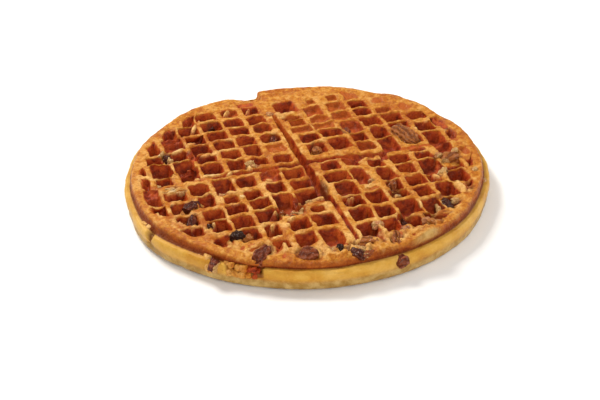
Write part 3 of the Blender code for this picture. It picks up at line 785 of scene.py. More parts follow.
def rim_masks_at(angle, radius, height, crumbly):
    """The masks that colour the rim, from each point's angle and its place on the plain profile: the
    ring's dark wall, partly its browning and partly painted shade, with a darker stretch at the front
    that is partly painted shade too, painted shade in the crease at its foot with a dark spot, the golden
    flange, and the pale side with the pale lump."""
    above_foot = smooth(-radius, -RING_RADIUS - 0.7, -RING_RADIUS - 0.1)
    wall = above_foot * smooth(radius, RING_RADIUS - 0.8, RING_RADIUS - 0.15)
    wall = wall * smooth(height, FLANGE_TOP - 0.6, FLANGE_TOP + 0.2)
    wall = wall * (0.7 + 0.3 * smooth(-height, -14.0, -12.6))
    # The front stretch, facing away from the key light, takes the wall colour further in: partly browning
    # and partly painted shade
    front_brown_and_shade = 0.85 * bell(angle, -99.0, 23.0, 4) * smooth(radius, RING_RADIUS - 1.6, RING_RADIUS - 0.7)
    front_brown_and_shade = front_brown_and_shade * above_foot
    wall = np.maximum(wall, front_brown_and_shade * (height > FLANGE_TOP))
    flange = smooth(radius, RING_RADIUS + 0.3, RING_RADIUS + 0.9) * smooth(height, 3.6, 6.4)
    pale = smooth(-height, -6.4, -4.0)
    # Painted shade in the crease at the wall's foot, and a dark spot on the ring at the left front
    foot_shade = np.exp(-(((height - FLANGE_TOP - 0.2) / 1.1) ** 2)) * smooth(-radius, -91.0, -90.2)
    dark_spot = 0.9 * bell(angle, -154.5, 3.4, 4)
    foot_shade = np.maximum(foot_shade, dark_spot * np.exp(-(((height - 12.0) / 1.3) ** 2)) * (radius < 91.0))
    lump = bell(angle, -69.0, 5.2, 4)
    wall = wall * (1 - 0.9 * lump * smooth(height, 11.4, 12.6))
    pale = np.maximum(pale, 0.8 * lump * smooth(height, 11.6, 13.0) * smooth(-height, -15.2, -14.4))
    return {"wall": wall, "foot_shade": foot_shade, "flange": flange, "pale": pale, "crumbly": crumbly}


def flange_breaks(angle, x, y, radius, height):
    """For each broken stretch of the flange, where it is on the rim and how far down it goes."""
    edge = 0.7 * crumb_noise(x, y, 5.0)
    for middle, wide, down in BROKEN_FLANGES:
        off = np.abs(turn_off(angle, middle))
        mask = smooth(wide / 2 + edge - off, -0.25, 0.35) * smooth(height, 0.5, 5.0)
        yield mask * smooth(radius, RING_RADIUS - 0.1, RING_RADIUS + 0.8), down


def rim_lift(angle, x, y, nominal_z, height, crumbly):
    """How far the lumps, crumbs and grains of the crust stand out of the rim, most at the front."""
    front_edge = bell(angle, -92.0, 34.0)[None, :] * smooth(nominal_z, 12.4, 14.2)
    lift = (0.3 + 0.35 * front_edge) * mid_noise(x, y, height)
    lift = lift + (0.2 + 0.9 * front_edge) * lump_noise(x, y, height)
    lift = lift + (0.14 + 0.8 * crumbly + 0.35 * front_edge) * crumb_noise(x, y, height)
    return lift + 0.07 * grain_noise(x, y, height)


def rim_surface():
    """Points of the rim as rings by steps round, with the masks that colour them."""
    profile = resampled(np.array(RIM_PROFILE), RIM_STEP)
    angle = np.arange(TURN_STEPS) * 360.0 / TURN_STEPS
    radius = np.repeat(profile[:, :1], TURN_STEPS, axis=1)
    height = np.repeat(profile[:, 1:], TURN_STEPS, axis=1)
    nominal_r, nominal_z = radius.copy(), height.copy()
    turn = np.radians(angle)[None, :]
    slope = np.gradient(profile, axis=0)
    normal = np.stack([-slope[:, 1], slope[:, 0]], 1)
    normal /= np.linalg.norm(normal, axis=1)[:, None]
    ends = np.ones(len(profile))
    ends[[0, -1]] = 0.0
    ends[[1, -2]] = 0.6
    outward = smooth(profile[:, 0], SEAM_RADIUS, RING_RADIUS - 0.8)[:, None] * ends[:, None]
    ring = smooth(nominal_z, FLANGE_TOP - 0.2, FLANGE_TOP + 1.4) * smooth(-nominal_r, -90.6, -89.9)
    x, y = radius * np.cos(turn), radius * np.sin(turn)
    stray_out, stray_up = ring_stray(angle)
    run = edge_run(angle)[None, :] + ring * stray_out[None, :]
    radius = radius + run * outward * smooth(height, -0.2, 1.5)
    height = height + stray_up[None, :] * smooth(nominal_z, FLANGE_TOP - 0.3, THICKNESS - 1.0)
    crumbly = np.zeros_like(radius)
    for mask, down in flange_breaks(angle, x, y, nominal_r, nominal_z):
        height = height - mask * down * smooth(nominal_z, 3.0, 10.0)
        radius = radius - mask * 1.3
        # The broken stretch under the crumbs is marked, and the crust darkens it as painted shade
        crumbly = np.maximum(crumbly, mask * smooth(nominal_z, 6.0, 8.5))
    low = on_low_edge(angle)[None, :]
    height = height - low * LOW_EDGE_DOWN * smooth(nominal_z, FLANGE_TOP, THICKNESS)
    radius = radius - low * 1.6 * smooth(nominal_z, FLANGE_TOP - 3.0, FLANGE_TOP) * outward
    lip = bell(angle, -97.4, 2.6)[None, :] * np.exp(-(((nominal_z - 9.6) / 1.1) ** 2))
    radius = radius + 1.5 * lip * outward
    lift = rim_lift(angle, x, y, nominal_z, height, crumbly) * ends[:, None] * smooth(height, -0.3, 2.2)
    radius = radius + lift * normal[:, :1]
    height = height + lift * normal[:, 1:]
    points = np.stack([radius * np.cos(turn), radius * np.sin(turn), height], -1)
    return points, rim_masks_at(angle[None, :], nominal_r, nominal_z, crumbly)


def under_surface(x, y, share):
    """Depth of the pockets and grooves of the underside."""
    column, row, dx, dy, is_open = pocket_frame(x, y)
    inset = rounded_inset(dx, dy, POCKET_WIDTH / 2, POCKET_WIDTH / 2, 1.8)
    inset = np.where(is_open, np.minimum(inset, (GRID_RADIUS - 0.5 - np.hypot(x, y)) * 0.8), -9.0)
    depth = smooth(inset, -0.35, 1.3) * UNDER_DEPTH * by_pocket(share, x, y, column, row)
    ends = smooth(86.0 - np.maximum(np.abs(x), np.abs(y)), 0.0, 5.0)
    depth = np.maximum(depth, 5.0 * (1 - smooth(np.abs(x), 0.7, 2.0)) * ends)
    return np.maximum(depth, 3.0 * (1 - smooth(np.abs(y), 0.5, 1.7)) * ends)


def quads_in_circle(lines_x, lines_y):
    """The grid's points and quads that lie within the mesh radius, and which of its cells they fill."""
    x, y = np.meshgrid(lines_x, lines_y, indexing="ij")
    inside = np.hypot(x, y) < MESH_RADIUS
    whole = inside[:-1, :-1] & inside[1:, :-1] & inside[1:, 1:] & inside[:-1, 1:]
    number = np.arange(x.size).reshape(x.shape)
    quads = np.stack([number[:-1, :-1], number[1:, :-1], number[1:, 1:], number[:-1, 1:]], -1)[whole]
    used = np.unique(quads)
    renumber = np.full(x.size, -1)
    renumber[used] = np.arange(len(used))
    return x.ravel()[used], y.ravel()[used], renumber[quads], whole


def border_edges(quads):
    """The edges of a quad mesh that only one quad uses."""
    edges = np.concatenate([quads[:, [k, (k + 1) % 4]] for k in range(4)])
    _, first, count = np.unique(np.sort(edges, axis=1), axis=0, return_index=True, return_counts=True)
    return edges[first[count == 1]]


def stitched(x, y, quads, whole, lines_x, lines_y, ring):
    """Triangles between the ragged border of the square grid and the ring of points round it, whose
    own numbers are given as negative ones."""
    border = border_edges(quads)
    corners = np.unique(border)
    local = {int(v): k for k, v in enumerate(corners)}
    first = len(corners)
    spots = [Vector((x[v], y[v])) for v in corners] + [Vector(p) for p in ring]
    edges = [(local[int(a)], local[int(b)]) for a, b in border]
    edges += [(first + k, first + (k + 1) % len(ring)) for k in range(len(ring))]
    places, _, faces, sources, _, _ = delaunay_2d_cdt(spots, edges, [], 0, 1e-6)
    out = []
    for face in faces:
        middle = sum((places[v] for v in face), Vector((0, 0))) / 3
        i = int(np.searchsorted(lines_x, middle.x)) - 1
        j = int(np.searchsorted(lines_y, middle.y)) - 1
        if 0 <= i < whole.shape[0] and 0 <= j < whole.shape[1] and whole[i, j]:
            continue
        source = [sources[v][0] for v in face]
        out.append([int(corners[v]) if v < first else -1 - (v - first) for v in source])
    return out


def face_net(pocket_lines, rib_lines, groove_lines, margin_step, ring):
    """The flat net of one face: points, quads, and the triangles that join it to the ring."""
    lines_x = grid_lines(pocket_lines, rib_lines, groove_lines, COLUMNS, margin_step)
    lines_y = grid_lines(pocket_lines, rib_lines, groove_lines, ROWS, margin_step)
    x, y, quads, whole = quads_in_circle(lines_x, lines_y)
    return x, y, quads, stitched(x, y, quads, whole, lines_x, lines_y, ring)


# Height in millimetres from which a point is surely on the top
UPPER_FROM = 8.0

# What the crust's material reads at each point
MASKS = ("pocket", "share", "pale_and_highlight", "gap", "wall", "foot_shade", "flange", "pale", "crumbly", "under")


def top_face(circle):
    """The top: points, quads, triangles to the ring of points round it, that ring's height, and masks."""
    shift, share = pocket_shifts(True, 41)
    x, y, quads, tris = face_net(TOP_POCKET_LINES, TOP_RIB_LINES, TOP_GROOVE_LINES, MARGIN_STEP, circle)
    wx, wy = warped(x, y, shift)
    height, depth, pale_and_highlight, gap = top_surface(x, y, wx, wy, share)
    sway = 0.16 * (1 - smooth(np.hypot(x, y), 83.0, MESH_RADIUS))
    sway_x, sway_y = sway * lump_noise(wx, wy, height + 60), sway * lump_noise(wx, wy, height + 90)
    points = np.stack([wx + sway_x, wy + sway_y, height + rough_top(wx, wy, height, depth)], 1)
    seam = top_surface(*circle.T, *circle.T, share)[0]
    seam = seam + rough_top(*circle.T, seam, seam * 0)
    # The mask of paler batter also carries painted highlight, and the gap mask carries painted shade
    masks = {"pocket": np.clip(depth / POCKET_DEPTH, 0, 1.1), "pale_and_highlight": pale_and_highlight, "gap": gap}
    masks["share"] = by_pocket(share, x, y, *pocket_frame(x, y)[:2])
    return points, quads, tris, seam, masks


def under_face(circle):
    """The underside: points, quads, triangles to the ring of points round it, and masks."""
    shift, share = pocket_shifts(False, 51)
    x, y, quads, tris = face_net(
        UNDER_POCKET_LINES, UNDER_RIB_LINES, UNDER_GROOVE_LINES, 2 * MARGIN_STEP, circle
    )
    wx, wy = warped(x, y, shift)
    depth = under_surface(x, y, share)
    lift = np.abs(0.1 * lump_noise(wx, wy, 7.0) + 0.08 * crumb_noise(wx, wy, 7.0))
    lift = lift * smooth(MESH_RADIUS - np.hypot(x, y), 0.0, 3.0)
    return np.stack([wx, wy, depth + lift], 1), quads, tris, {"pocket": depth / UNDER_DEPTH, "share": 1.0}


def build_waffle():
    """The whole waffle as one closed mesh: top face, rim and underside."""
    rim, rim_masks = rim_surface()
    rings, steps = rim.shape[:2]
    turn = np.radians(np.arange(steps) * 360.0 / steps)
    circle = SEAM_RADIUS * np.stack([np.cos(turn), np.sin(turn)], 1)
    top, top_quads, top_tris, seam, top_masks = top_face(circle)
    rim[0, :, 2] = seam
    under, under_quads, under_tris, under_masks = under_face(circle)
    points = np.concatenate([top, rim.reshape(-1, 3), under])
    rim_start, under_start = len(top), len(top) + rings * steps
    last = under_start - steps

    faces = top_quads.tolist()
    faces += [[v if v >= 0 else rim_start - 1 - v for v in t] for t in top_tris]
    for a in range(rim_start, last, steps):
        b = a + steps
        faces += [[a + j, b + j, b + (j + 1) % steps, a + (j + 1) % steps] for j in range(steps)]
    faces += [[under_start + v for v in reversed(q)] for q in under_quads.tolist()]
    faces += [[(under_start + v) if v >= 0 else last - 1 - v for v in reversed(t)] for t in under_tris]

    masks = {name: np.zeros(len(points)) for name in MASKS}
    edges = (0, rim_start, under_start, len(points))
    for start, end, own in zip(edges, edges[1:], (top_masks, rim_masks, under_masks)):
        for name, values in own.items():
            masks[name][start:end] = np.ravel(values)
    masks["under"][last:] = 1.0
    return points, faces, masks


def mesh_object(name, points, faces, masks):
    """A smooth-shaded object from points in millimetres, with a value at each point for each mask."""
    mesh = bpy.data.meshes.new(name)
    mesh.from_pydata((np.asarray(points) * MM).tolist(), [], faces)
    for mask, values in masks.items():
        layer = mesh.attributes.new(mask, "FLOAT", "POINT")
        layer.data.foreach_set("value", np.asarray(values, np.float32))
    mesh.shade_smooth()
    mesh.update()
    made = bpy.data.objects.new(name, mesh)
    bpy.context.scene.collection.objects.link(made)
    return made


class Nodes:
    """Short names for building a node tree."""

    def __init__(self, name):
        self.material = bpy.data.materials.new(name)
        self.material.use_nodes = True
        self.tree = self.material.node_tree
        self.shader = self.tree.nodes["Principled BSDF"]

    def put(self, node, key, value):
        socket = node.inputs[key]
        if isinstance(value, bpy.types.NodeSocket):
            self.tree.links.new(value, socket)
        elif isinstance(value, tuple) and len(value) == 3 and socket.type == "RGBA":
            socket.default_value = (*value, 1.0)
        else:
            socket.default_value = value

    def add(self, kind, **inputs):
        node = self.tree.nodes.new(kind)
        for name, value in inputs.items():
            self.put(node, name.replace("_", " "), value)
        return node

    def mask(self, name):
        node = self.tree.nodes.new("ShaderNodeAttribute")
        node.attribute_name = name
        return node.outputs["Fac"]

    def place(self):
        return self.tree.nodes.new("ShaderNodeTexCoord").outputs["Object"]

    def noise(self, per_mm, detail=3.0, roughness=0.55, distortion=0.0):
        inputs = {"Scale": per_mm / MM, "Detail": detail, "Roughness": roughness, "Distortion": distortion}
        return self.add("ShaderNodeTexNoise", Vector=self.place(), **inputs).outputs["Fac"]

    def math(self, how, a, b=0.0):
        node = self.tree.nodes.new("ShaderNodeMath")
        node.operation = how
        self.put(node, 0, a)
        self.put(node, 1, b)
        return node.outputs[0]

    def times(self, a, b):
        return self.math("MULTIPLY", a, b)

    def span(self, value, low, high, to_low=0.0, to_high=1.0):
        node = self.tree.nodes.new("ShaderNodeMapRange")
        node.interpolation_type = "SMOOTHSTEP"
        for k, v in enumerate((value, low, high, to_low, to_high)):
            self.put(node, k, v)
        return node.outputs[0]

    def ramp(self, value, *stops):
        node = self.tree.nodes.new("ShaderNodeValToRGB")
        self.put(node, "Fac", value)
        ends = node.color_ramp.elements
        while len(ends) < len(stops):
            ends.new(0.5)
        for element, (place, colour) in zip(ends, stops):
            element.position = place
            element.color = (*colour, 1.0)
        return node.outputs["Color"]

    def mix(self, factor, a, b, how="MIX"):
        node = self.tree.nodes.new("ShaderNodeMix")
        node.data_type = "RGBA"
        node.blend_type = how
        for key, value in ((0, factor), (6, a), (7, b)):
            self.put(node, key, value)
        return node.outputs[2]

    def bump(self, height, distance_mm, strength, under=None):
        node = self.add("ShaderNodeBump", Height=height, Distance=distance_mm * MM, Strength=strength)
        if under is not None:
            self.put(node, "Normal", under)
        return node.outputs[0]

    def finish(self, **inputs):
        for name, value in inputs.items():
            self.put(self.shader, name.replace("_", " "), value)
        return self.material


def crust_material():
    """Baked batter: golden ribs with painted highlight on their crests, red-brown pockets and ring wall
    that are partly browning and partly painted shade, painted shade in hollows, pits, gaps and creases, a
    golden flange and a paler side.
    """
    n = Nodes("crust")
    broad = n.noise(0.045, 2.0)
    patch = n.noise(0.2, 4.0, 0.6, 0.4)
    blotch = n.noise(0.3, 3.0, 0.55, 0.3)
    lumps = n.noise(0.5, 3.0, 0.6)
    fine = n.noise(1.2, 3.0, 0.6)
    tone = n.math("ADD", n.times(broad, 0.4), n.times(blotch, 0.6))
    tone = n.math("ADD", tone, n.times(lumps, 0.25))
    ribs = n.ramp(
        n.span(tone, 0.49, 0.76),
        (0.0, (0.42, 0.106, 0.007)),
        (0.35, (0.50, 0.160, 0.012)),
        (0.7, (0.58, 0.225, 0.024)),
        (1.0, (0.66, 0.310, 0.064)),
    )
    # Pockets darken with depth: partly the crust's browning and partly painted shade, lighter in shallow
    # pockets
    pocket_brown_and_shade = n.ramp(
        n.span(patch, 0.3, 0.7),
        (0.0, (0.15, 0.011, 0.002)),
        (0.5, (0.36, 0.039, 0.006)),
        (1.0, (0.52, 0.094, 0.012)),
    )
    pocket = n.mask("pocket")
    down = n.times(pocket, n.span(lumps, 0.25, 0.75, 0.5, 1.5))
    lip = n.mix(n.span(down, 0.03, 0.1), ribs, (0.43, 0.092, 0.006))
    # Painted shade: the deepest parts of the pockets are darkened further
    pocket_brown_and_shade = n.mix(n.span(pocket, 0.7, 1.1, 0.0, 0.36), pocket_brown_and_shade, (0.15, 0.010, 0.002))
    pocket_brown_and_shade = n.mix(n.span(n.mask("share"), 0.3, 0.8), (0.44, 0.095, 0.008), pocket_brown_and_shade)
    colour = n.mix(n.span(down, 0.08, 0.2), lip, pocket_brown_and_shade)
    # The ring wall's colour: partly its browning and partly painted shade
    wall = n.ramp(n.span(patch, 0.3, 0.7), (0.0, (0.21, 0.026, 0.002)), (1.0, (0.40, 0.082, 0.006)))
    colour = n.mix(n.mask("wall"), colour, wall)
    # Painted shade in the crease at the ring's foot, with the dark spot
    colour = n.mix(n.times(n.mask("foot_shade"), 0.85), colour, (0.13, 0.020, 0.003))
    flange = n.ramp(
        n.span(n.math("ADD", broad, n.times(patch, 0.4)), 0.5, 0.9),
        (0.0, (0.50, 0.21, 0.020)),
        (0.5, (0.60, 0.31, 0.042)),
        (1.0, (0.68, 0.39, 0.085)),
    )
    colour = n.mix(n.mask("flange"), colour, flange)
    side = n.ramp(n.span(patch, 0.35, 0.68), (0.0, (0.34, 0.18, 0.035)), (1.0, (0.56, 0.37, 0.13)))
    colour = n.mix(n.mask("pale"), colour, side)
    colour = n.mix(n.mask("under"), colour, n.mix(n.span(pocket, 0.05, 0.6), ribs, pocket_brown_and_shade))
    # The paler batter colour, also used as painted highlight on the rib crests and the lumps' tops
    pale_and_highlight = n.ramp(lumps, (0.35, (0.61, 0.28, 0.055)), (0.65, (0.82, 0.48, 0.15)))
    colour = n.mix(n.span(n.mask("pale_and_highlight"), 0.15, 0.95), colour, pale_and_highlight)
    colour = n.mix(n.span(n.mask("pale_and_highlight"), 0.95, 1.5), colour, (0.86, 0.63, 0.32))
    # Painted shade: the gaps round the nuts, the crevices and the broken flange under the crumbs are
    # darkened to near black-brown
    gap = n.math("MAXIMUM", n.mask("crumbly"), n.mask("gap"))
    colour = n.mix(n.times(gap, 0.85), colour, (0.13, 0.022, 0.004))
    smooth_side = n.math("MAXIMUM", n.mask("flange"), n.mask("pale"))
    grainy = n.span(smooth_side, 0.0, 1.0, 1.0, 0.25)
    # Painted shade: the low spots of the bump's lumps and its fine pits are darkened
    hollow_shade = n.ramp(lumps, (0.3, (0.50, 0.40, 0.36)), (0.5, (1.0, 1.0, 1.0)))
    colour = n.mix(n.times(grainy, 0.4), colour, hollow_shade, "MULTIPLY")
    pit_shade = n.ramp(fine, (0.34, (0.46, 0.34, 0.28)), (0.5, (1.0, 1.0, 1.0)))
    colour = n.mix(n.times(grainy, 0.45), colour, pit_shade, "MULTIPLY")
    normal = n.bump(lumps, 1.0, n.span(smooth_side, 0.0, 1.0, 0.6, 0.25))
    normal = n.bump(fine, 0.55, n.span(smooth_side, 0.0, 1.0, 0.7, 0.2), normal)
    gloss = n.span(patch, 0.35, 0.7, 0.38, 0.6)
    return n.finish(
        Base_Color=colour,
        Roughness=gloss,
        Normal=normal,
        Specular_IOR_Level=n.span(fine, 0.6, 0.68, 0.24, 0.7),
        Specular_Tint=(1.0, 0.78, 0.52),
    )


def nut_material():
    """Pecan: ridged brown skin whose furrows are darker, partly the skin's colour and partly painted shade,
    with paler ridges that are partly worn skin and partly painted highlight, and broken faces, tinted piece
    by piece.
    """
    n = Nodes("pecan_skin")
    ridge = n.mask("ridge")
    lumps = n.noise(0.55, 4.0, 0.65)
    fine = n.noise(1.5, 3.0, 0.6)
    skin = n.ramp(
        n.mask("tint"),
        (0.0, (0.028, 0.007, 0.003)),
        (0.25, (0.125, 0.017, 0.004)),
        (0.5, (0.25, 0.055, 0.010)),
        (0.75, (0.38, 0.130, 0.022)),
        (1.0, (0.54, 0.23, 0.09)),
    )
    # Furrows darkened: partly the skin's own colour and partly painted shade
    furrow = n.mix(0.7, skin, (0.36, 0.22, 0.16), "MULTIPLY")
    colour = n.mix(n.span(ridge, 0.2, 0.7), furrow, skin)
    # Paler ridges: partly worn skin and partly painted highlight
    worn = n.span(n.times(ridge, lumps), 0.4, 0.6, 0.0, 0.45)
    worn = n.times(worn, n.span(n.mask("tint"), 0.0, 0.3))
    colour = n.mix(worn, colour, (0.52, 0.17, 0.09))
    meat = n.ramp(fine, (0.3, (0.36, 0.17, 0.04)), (0.7, (0.68, 0.42, 0.17)))
    colour = n.mix(n.span(n.mask("broken"), 0.35, 0.65), colour, meat)
    normal = n.bump(lumps, 0.8, 0.7)
    normal = n.bump(fine, 0.6, 0.8, normal)
    gloss = n.span(fine, 0.48, 0.62, 0.5, 0.2)
    return n.finish(
        Base_Color=colour,
        Roughness=gloss,
        Normal=normal,
        Specular_IOR_Level=n.span(fine, 0.52, 0.62, 0.1, 1.0),
        Specular_Tint=(1.0, 0.78, 0.68),
    )


def add_waffle(crust):
    """The waffle, and a look-up of its surface's height at a place on the top."""
    points, faces, masks = build_waffle()
    waffle = mesh_object("waffle_crust_relief", points, faces, masks)
    waffle.data.materials.append(crust)
    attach(waffle, "root")
    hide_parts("waffle")
    upper = points[points[:, 2] > UPPER_FROM]
    return lambda x, y: upper[np.hypot(upper[:, 0] - x, upper[:, 1] - y).argmin(), 2]


# Pecan pieces: name, middle X, Y and Z, length, width and height, turn and tilt in degrees, the skin's tint
# from black-brown 0 to pink-tan 1, how much of it is broken to the pale meat, and how far the batter round
# it stands above or below its middle
PECANS = (
    ("pecan_half_back_right", 58.4, 12.0, 14.9, 19.5, 10.2, 7.5, -75, 3, 0.66, 0.04, -0.9),
    ("pecan_right", 71.2, -18.8, 13.9, 12.5, 9.0, 7.0, 38, -6, 0.66, 0.3, 0.0),
    ("pecan_left", -64.8, -21.6, 13.2, 12.2, 6.6, 6.4, 43, 4, 0.14, 0.0, -0.8),
    ("pecan_left_sliver", -67.2, -33.2, 12.4, 10.5, 5.0, 5.4, 85, -8, 0.16, 0.0, -0.8),
    ("pecan_dark_front_left", -50.4, -55.4, 13.7, 8.6, 7.4, 6.6, 80, 0, 0.0, 0.0, -0.8),
    ("pecan_red_front_left", -43.4, -73.0, 13.8, 14.4, 7.2, 6.0, 48, -4, 0.32, 0.0, 0.8),
    ("pecan_red_front", -23.4, -79.8, 13.6, 12.0, 9.6, 6.0, -20, 2, 0.38, 0.0, 0.9),
    ("pecan_dark_front", -3.0, -86.2, 13.8, 10.4, 5.4, 5.4, -58, 0, 0.12, 0.0, 0.5),
    ("pecan_long_front", 5.4, -79.0, 14.1, 13.0, 5.8, 5.2, -5, 3, 0.68, 0.0, 0.6),
    ("pecan_split_front", 18.2, -81.0, 14.1, 12.8, 5.0, 5.4, 78, 0, 0.62, 0.1, 0.4),
    ("pecan_round_front", 24.8, -75.6, 13.8, 7.8, 5.4, 6.0, 70, 0, 0.9, 0.0, -0.2),
    ("pecan_right_front", 52.4, -58.2, 13.2, 11.0, 5.0, 5.6, 88, 4, 0.08, 0.0, -1.4),
    ("pecan_mid_right", 34.0, -33.4, 12.6, 8.8, 5.4, 6.0, 75, 0, 0.55, 0.0, -1.2),
    ("pecan_back_left", -66.6, 29.6, 13.2, 9.6, 4.4, 5.6, 88, -3, 0.1, 0.12, -1.6),
    ("pecan_back_right", 31.6, 29.4, 12.6, 9.4, 4.6, 5.0, 76, 0, 0.4, 0.0, -0.8),
    ("pecan_by_centre", 10.0, 15.2, 12.4, 10.0, 5.2, 5.6, 82, 5, 0.68, 0.0, -1.6),
    ("pecan_by_groove", -8.6, 33.2, 12.2, 8.8, 4.4, 5.6, 72, 0, 0.25, 0.0, -1.6),
    ("pecan_edge_left", -64.3, -67.2, 8.8, 9.8, 6.0, 6.6, -50, 12, 0.26, 0.5, -9.0),
    ("pecan_edge_front", 17.4, -90.8, 8.6, 7.0, 5.6, 6.4, 20, 0, 0.34, 0.0, -9.0),
)

SPLIT_PECANS = ("pecan_split_front",)

# Chopped nut bits: middle X and Y, length, width and height, turn in degrees, tint, how broken, and how
# far the middle stands above the crust
NUT_BITS = (
    (14.2, -66.6, 5.4, 3.4, 3.2, 10, 1.0, 0.5, 0.3),
    (27.9, -65.4, 7.2, 2.8, 3.4, 78, 0.1, 0.0, 0.4),
    (39.4, -68.0, 5.8, 5.2, 4.2, 60, 0.12, 0.0, 0.5),
    (36.4, -71.0, 3.8, 3.4, 3.4, 0, 1.0, 0.2, 0.8),
    (39.8, -74.2, 7.4, 3.6, 3.2, -15, 0.78, 0.0, 0.4),
    (44.8, -63.6, 6.4, 3.6, 3.0, 10, 0.9, 0.3, 0.5),
    (47.2, -68.4, 5.4, 3.0, 3.0, -30, 0.55, 0.3, 0.4),
    (-8.6, -79.6, 3.8, 3.6, 3.8, 30, 0.0, 0.0, 0.6),
    (-11.6, -79.0, 5.2, 3.4, 3.2, 15, 0.95, 0.7, 0.4),
    (0.4, -83.6, 7.6, 2.8, 2.8, -42, 0.9, 0.9, 0.7),
    (1.6, -88.0, 6.0, 3.0, 2.6, 20, 0.5, 0.3, 0.3),
    (-10.5, -37.6, 3.0, 2.4, 2.6, 0, 1.0, 0.9, 0.7),
    (-14.0, -38.6, 3.4, 2.6, 2.8, 50, 1.0, 1.0, 0.6),
    (-18.4, -40.8, 4.6, 3.2, 3.2, -20, 0.9, 0.4, 0.8),
    (-22.4, -41.2, 3.6, 2.8, 3.0, 20, 1.0, 0.6, 0.9),
    (-16.0, -43.8, 4.0, 3.0, 3.0, 65, 0.95, 0.7, 0.8),
    (-25.6, -43.2, 3.4, 2.6, 3.0, -50, 0.5, 0.1, 0.8),
    (-20.4, -45.2, 3.4, 2.6, 2.8, 35, 0.15, 0.0, 0.7),
    (-46.4, -56.8, 5.2, 4.2, 4.0, 20, 0.7, 0.1, 0.8),
    (-28.0, 8.8, 4.8, 3.2, 3.2, 30, 1.0, 0.9, 0.8),
    (-32.4, 6.6, 5.2, 3.0, 3.2, 10, 0.1, 0.0, 0.6),
    (-26.0, 5.8, 3.2, 2.6, 2.6, -40, 1.0, 0.5, 0.6),
    (-71.6, -3.6, 5.8, 3.4, 2.6, 20, 0.95, 0.75, 0.1),
    (-66.8, -7.2, 4.6, 2.6, 2.6, -10, 0.85, 0.6, 0.2),
    (-60.6, -43.6, 2.8, 2.4, 2.6, 0, 0.05, 0.0, 0.6),
    (56.0, -28.6, 7.4, 3.2, 3.4, -28, 0.9, 0.9, 0.6),
    (61.6, -30.6, 6.4, 4.0, 3.6, 40, 0.9, 0.9, 0.5),
    (31.2, -43.8, 6.4, 3.6, 3.6, -30, 0.0, 0.0, 0.5),
    (34.6, -41.6, 7.2, 2.2, 3.0, -32, 1.0, 1.0, 0.9),
    (48.6, -57.6, 8.2, 2.2, 3.2, 82, 1.0, 1.0, 0.8),
    (-65.4, 25.4, 3.0, 2.4, 2.6, 0, 1.0, 1.0, 1.0),
    (-68.6, 33.0, 3.6, 2.4, 2.6, 60, 1.0, 0.9, 0.9),
    (-48.0, -15.6, 3.4, 2.8, 2.8, 0, 1.0, 0.7, 0.5),
    (-22.0, 21.6, 7.0, 5.6, 4.0, 5, 0.75, 0.0, 0.2),
    (-36.0, 60.8, 3.4, 2.6, 2.6, 0, 0.1, 0.0, 0.6),
    (-3.4, 60.0, 3.8, 3.0, 3.0, 20, 1.0, 0.4, 0.5),
    (-8.0, 66.6, 3.0, 2.4, 2.6, 20, 1.0, 0.8, 0.4),
    (75.6, -13.6, 5.6, 3.4, 3.2, 40, 0.95, 0.8, 0.6),
    (66.4, -14.4, 5.4, 3.0, 3.0, 30, 0.9, 0.6, 0.6),
    (77.6, -34.0, 4.2, 2.8, 2.8, 60, 0.95, 0.8, 0.4),
    (79.8, -40.0, 4.6, 3.4, 3.2, 20, 1.0, 0.5, 0.3),
    (57.0, -57.4, 3.6, 2.6, 2.6, 10, 1.0, 0.7, 0.6),
    (-76.4, 3.4, 3.4, 2.6, 2.8, 0, 1.0, 0.9, 0.3),
    (25.0, -26.6, 3.0, 2.2, 2.4, 0, 1.0, 0.5, 0.4),
)

# Where a nut stands out of the top: middle, length, width and turn
NUT_OUTLINES = [(x, y, long, wide, turn) for _, x, y, _, long, wide, _, turn, *_ in PECANS]
NUT_OUTLINES += [(x, y, long, wide, turn) for x, y, long, wide, _, turn, *_ in NUT_BITS]

# Crumbs of crust on the broken flange: angle in degrees, radius, height, size, and how red
CRUMBS = (
    (-131.0, 90.6, 9.2, 3.4, -0.55),
    (-129.2, 90.7, 9.7, 3.0, -0.3),
    (-127.3, 90.7, 8.9, 3.5, -0.25),
    (-125.4, 90.7, 9.4, 3.3, 0.05),
    (-123.7, 90.6, 8.8, 3.0, 0.16),
    (-122.3, 90.7, 9.5, 2.7, 0.3),
    (-121.2, 90.5, 8.8, 2.5, 0.5),
    (-129.9, 91.0, 6.4, 3.3, -0.6),
    (-127.8, 91.1, 6.1, 3.1, -0.4),
    (-125.8, 91.0, 6.3, 3.4, -0.35),
    (-123.8, 91.0, 6.0, 3.1, -0.1),
    (-122.0, 90.9, 6.4, 2.7, 0.35),
    (-162.6, 90.8, 9.4, 4.4, -1.1),
    (-164.9, 90.9, 9.6, 3.4, -0.8),
    (-160.6, 91.0, 6.4, 2.6, -0.5),
    (-137.0, 90.6, 8.8, 5.2, -0.8),
    (-135.4, 91.2, 6.7, 4.4, -0.75),
    (-139.0, 90.3, 9.0, 3.8, -0.6),
)
NUT_AROUND = 72
NUT_ALONG = 40
NUT_FACETS = 5
CHUNK_AROUND = 28
CHUNK_ALONG = 18
CHUNK_PLANES = 8
CHUNK_SHARPNESS = 26
BIT_RUGGED = 0.42
CRUMB_RUGGED = 0.06
BIT_SHRINK = 0.92


def capped_faces(rings, around, flipped):
    """Faces between rings of points, closed by one point at each end that follows the rings."""
    following = [(j + 1) % around for j in range(around)]
    faces = []
    for a in range(0, (rings - 1) * around, around):
        b = a + around
        faces += [[a + j, a + k, b + k, b + j] for j, k in enumerate(following)]
    near, far, last = rings * around, rings * around + 1, (rings - 1) * around
    for j, k in enumerate(following):
        faces += [[near, k, j], [far, last + j, last + k]]
    return [face[:1] + face[:0:-1] for face in faces] if flipped else faces


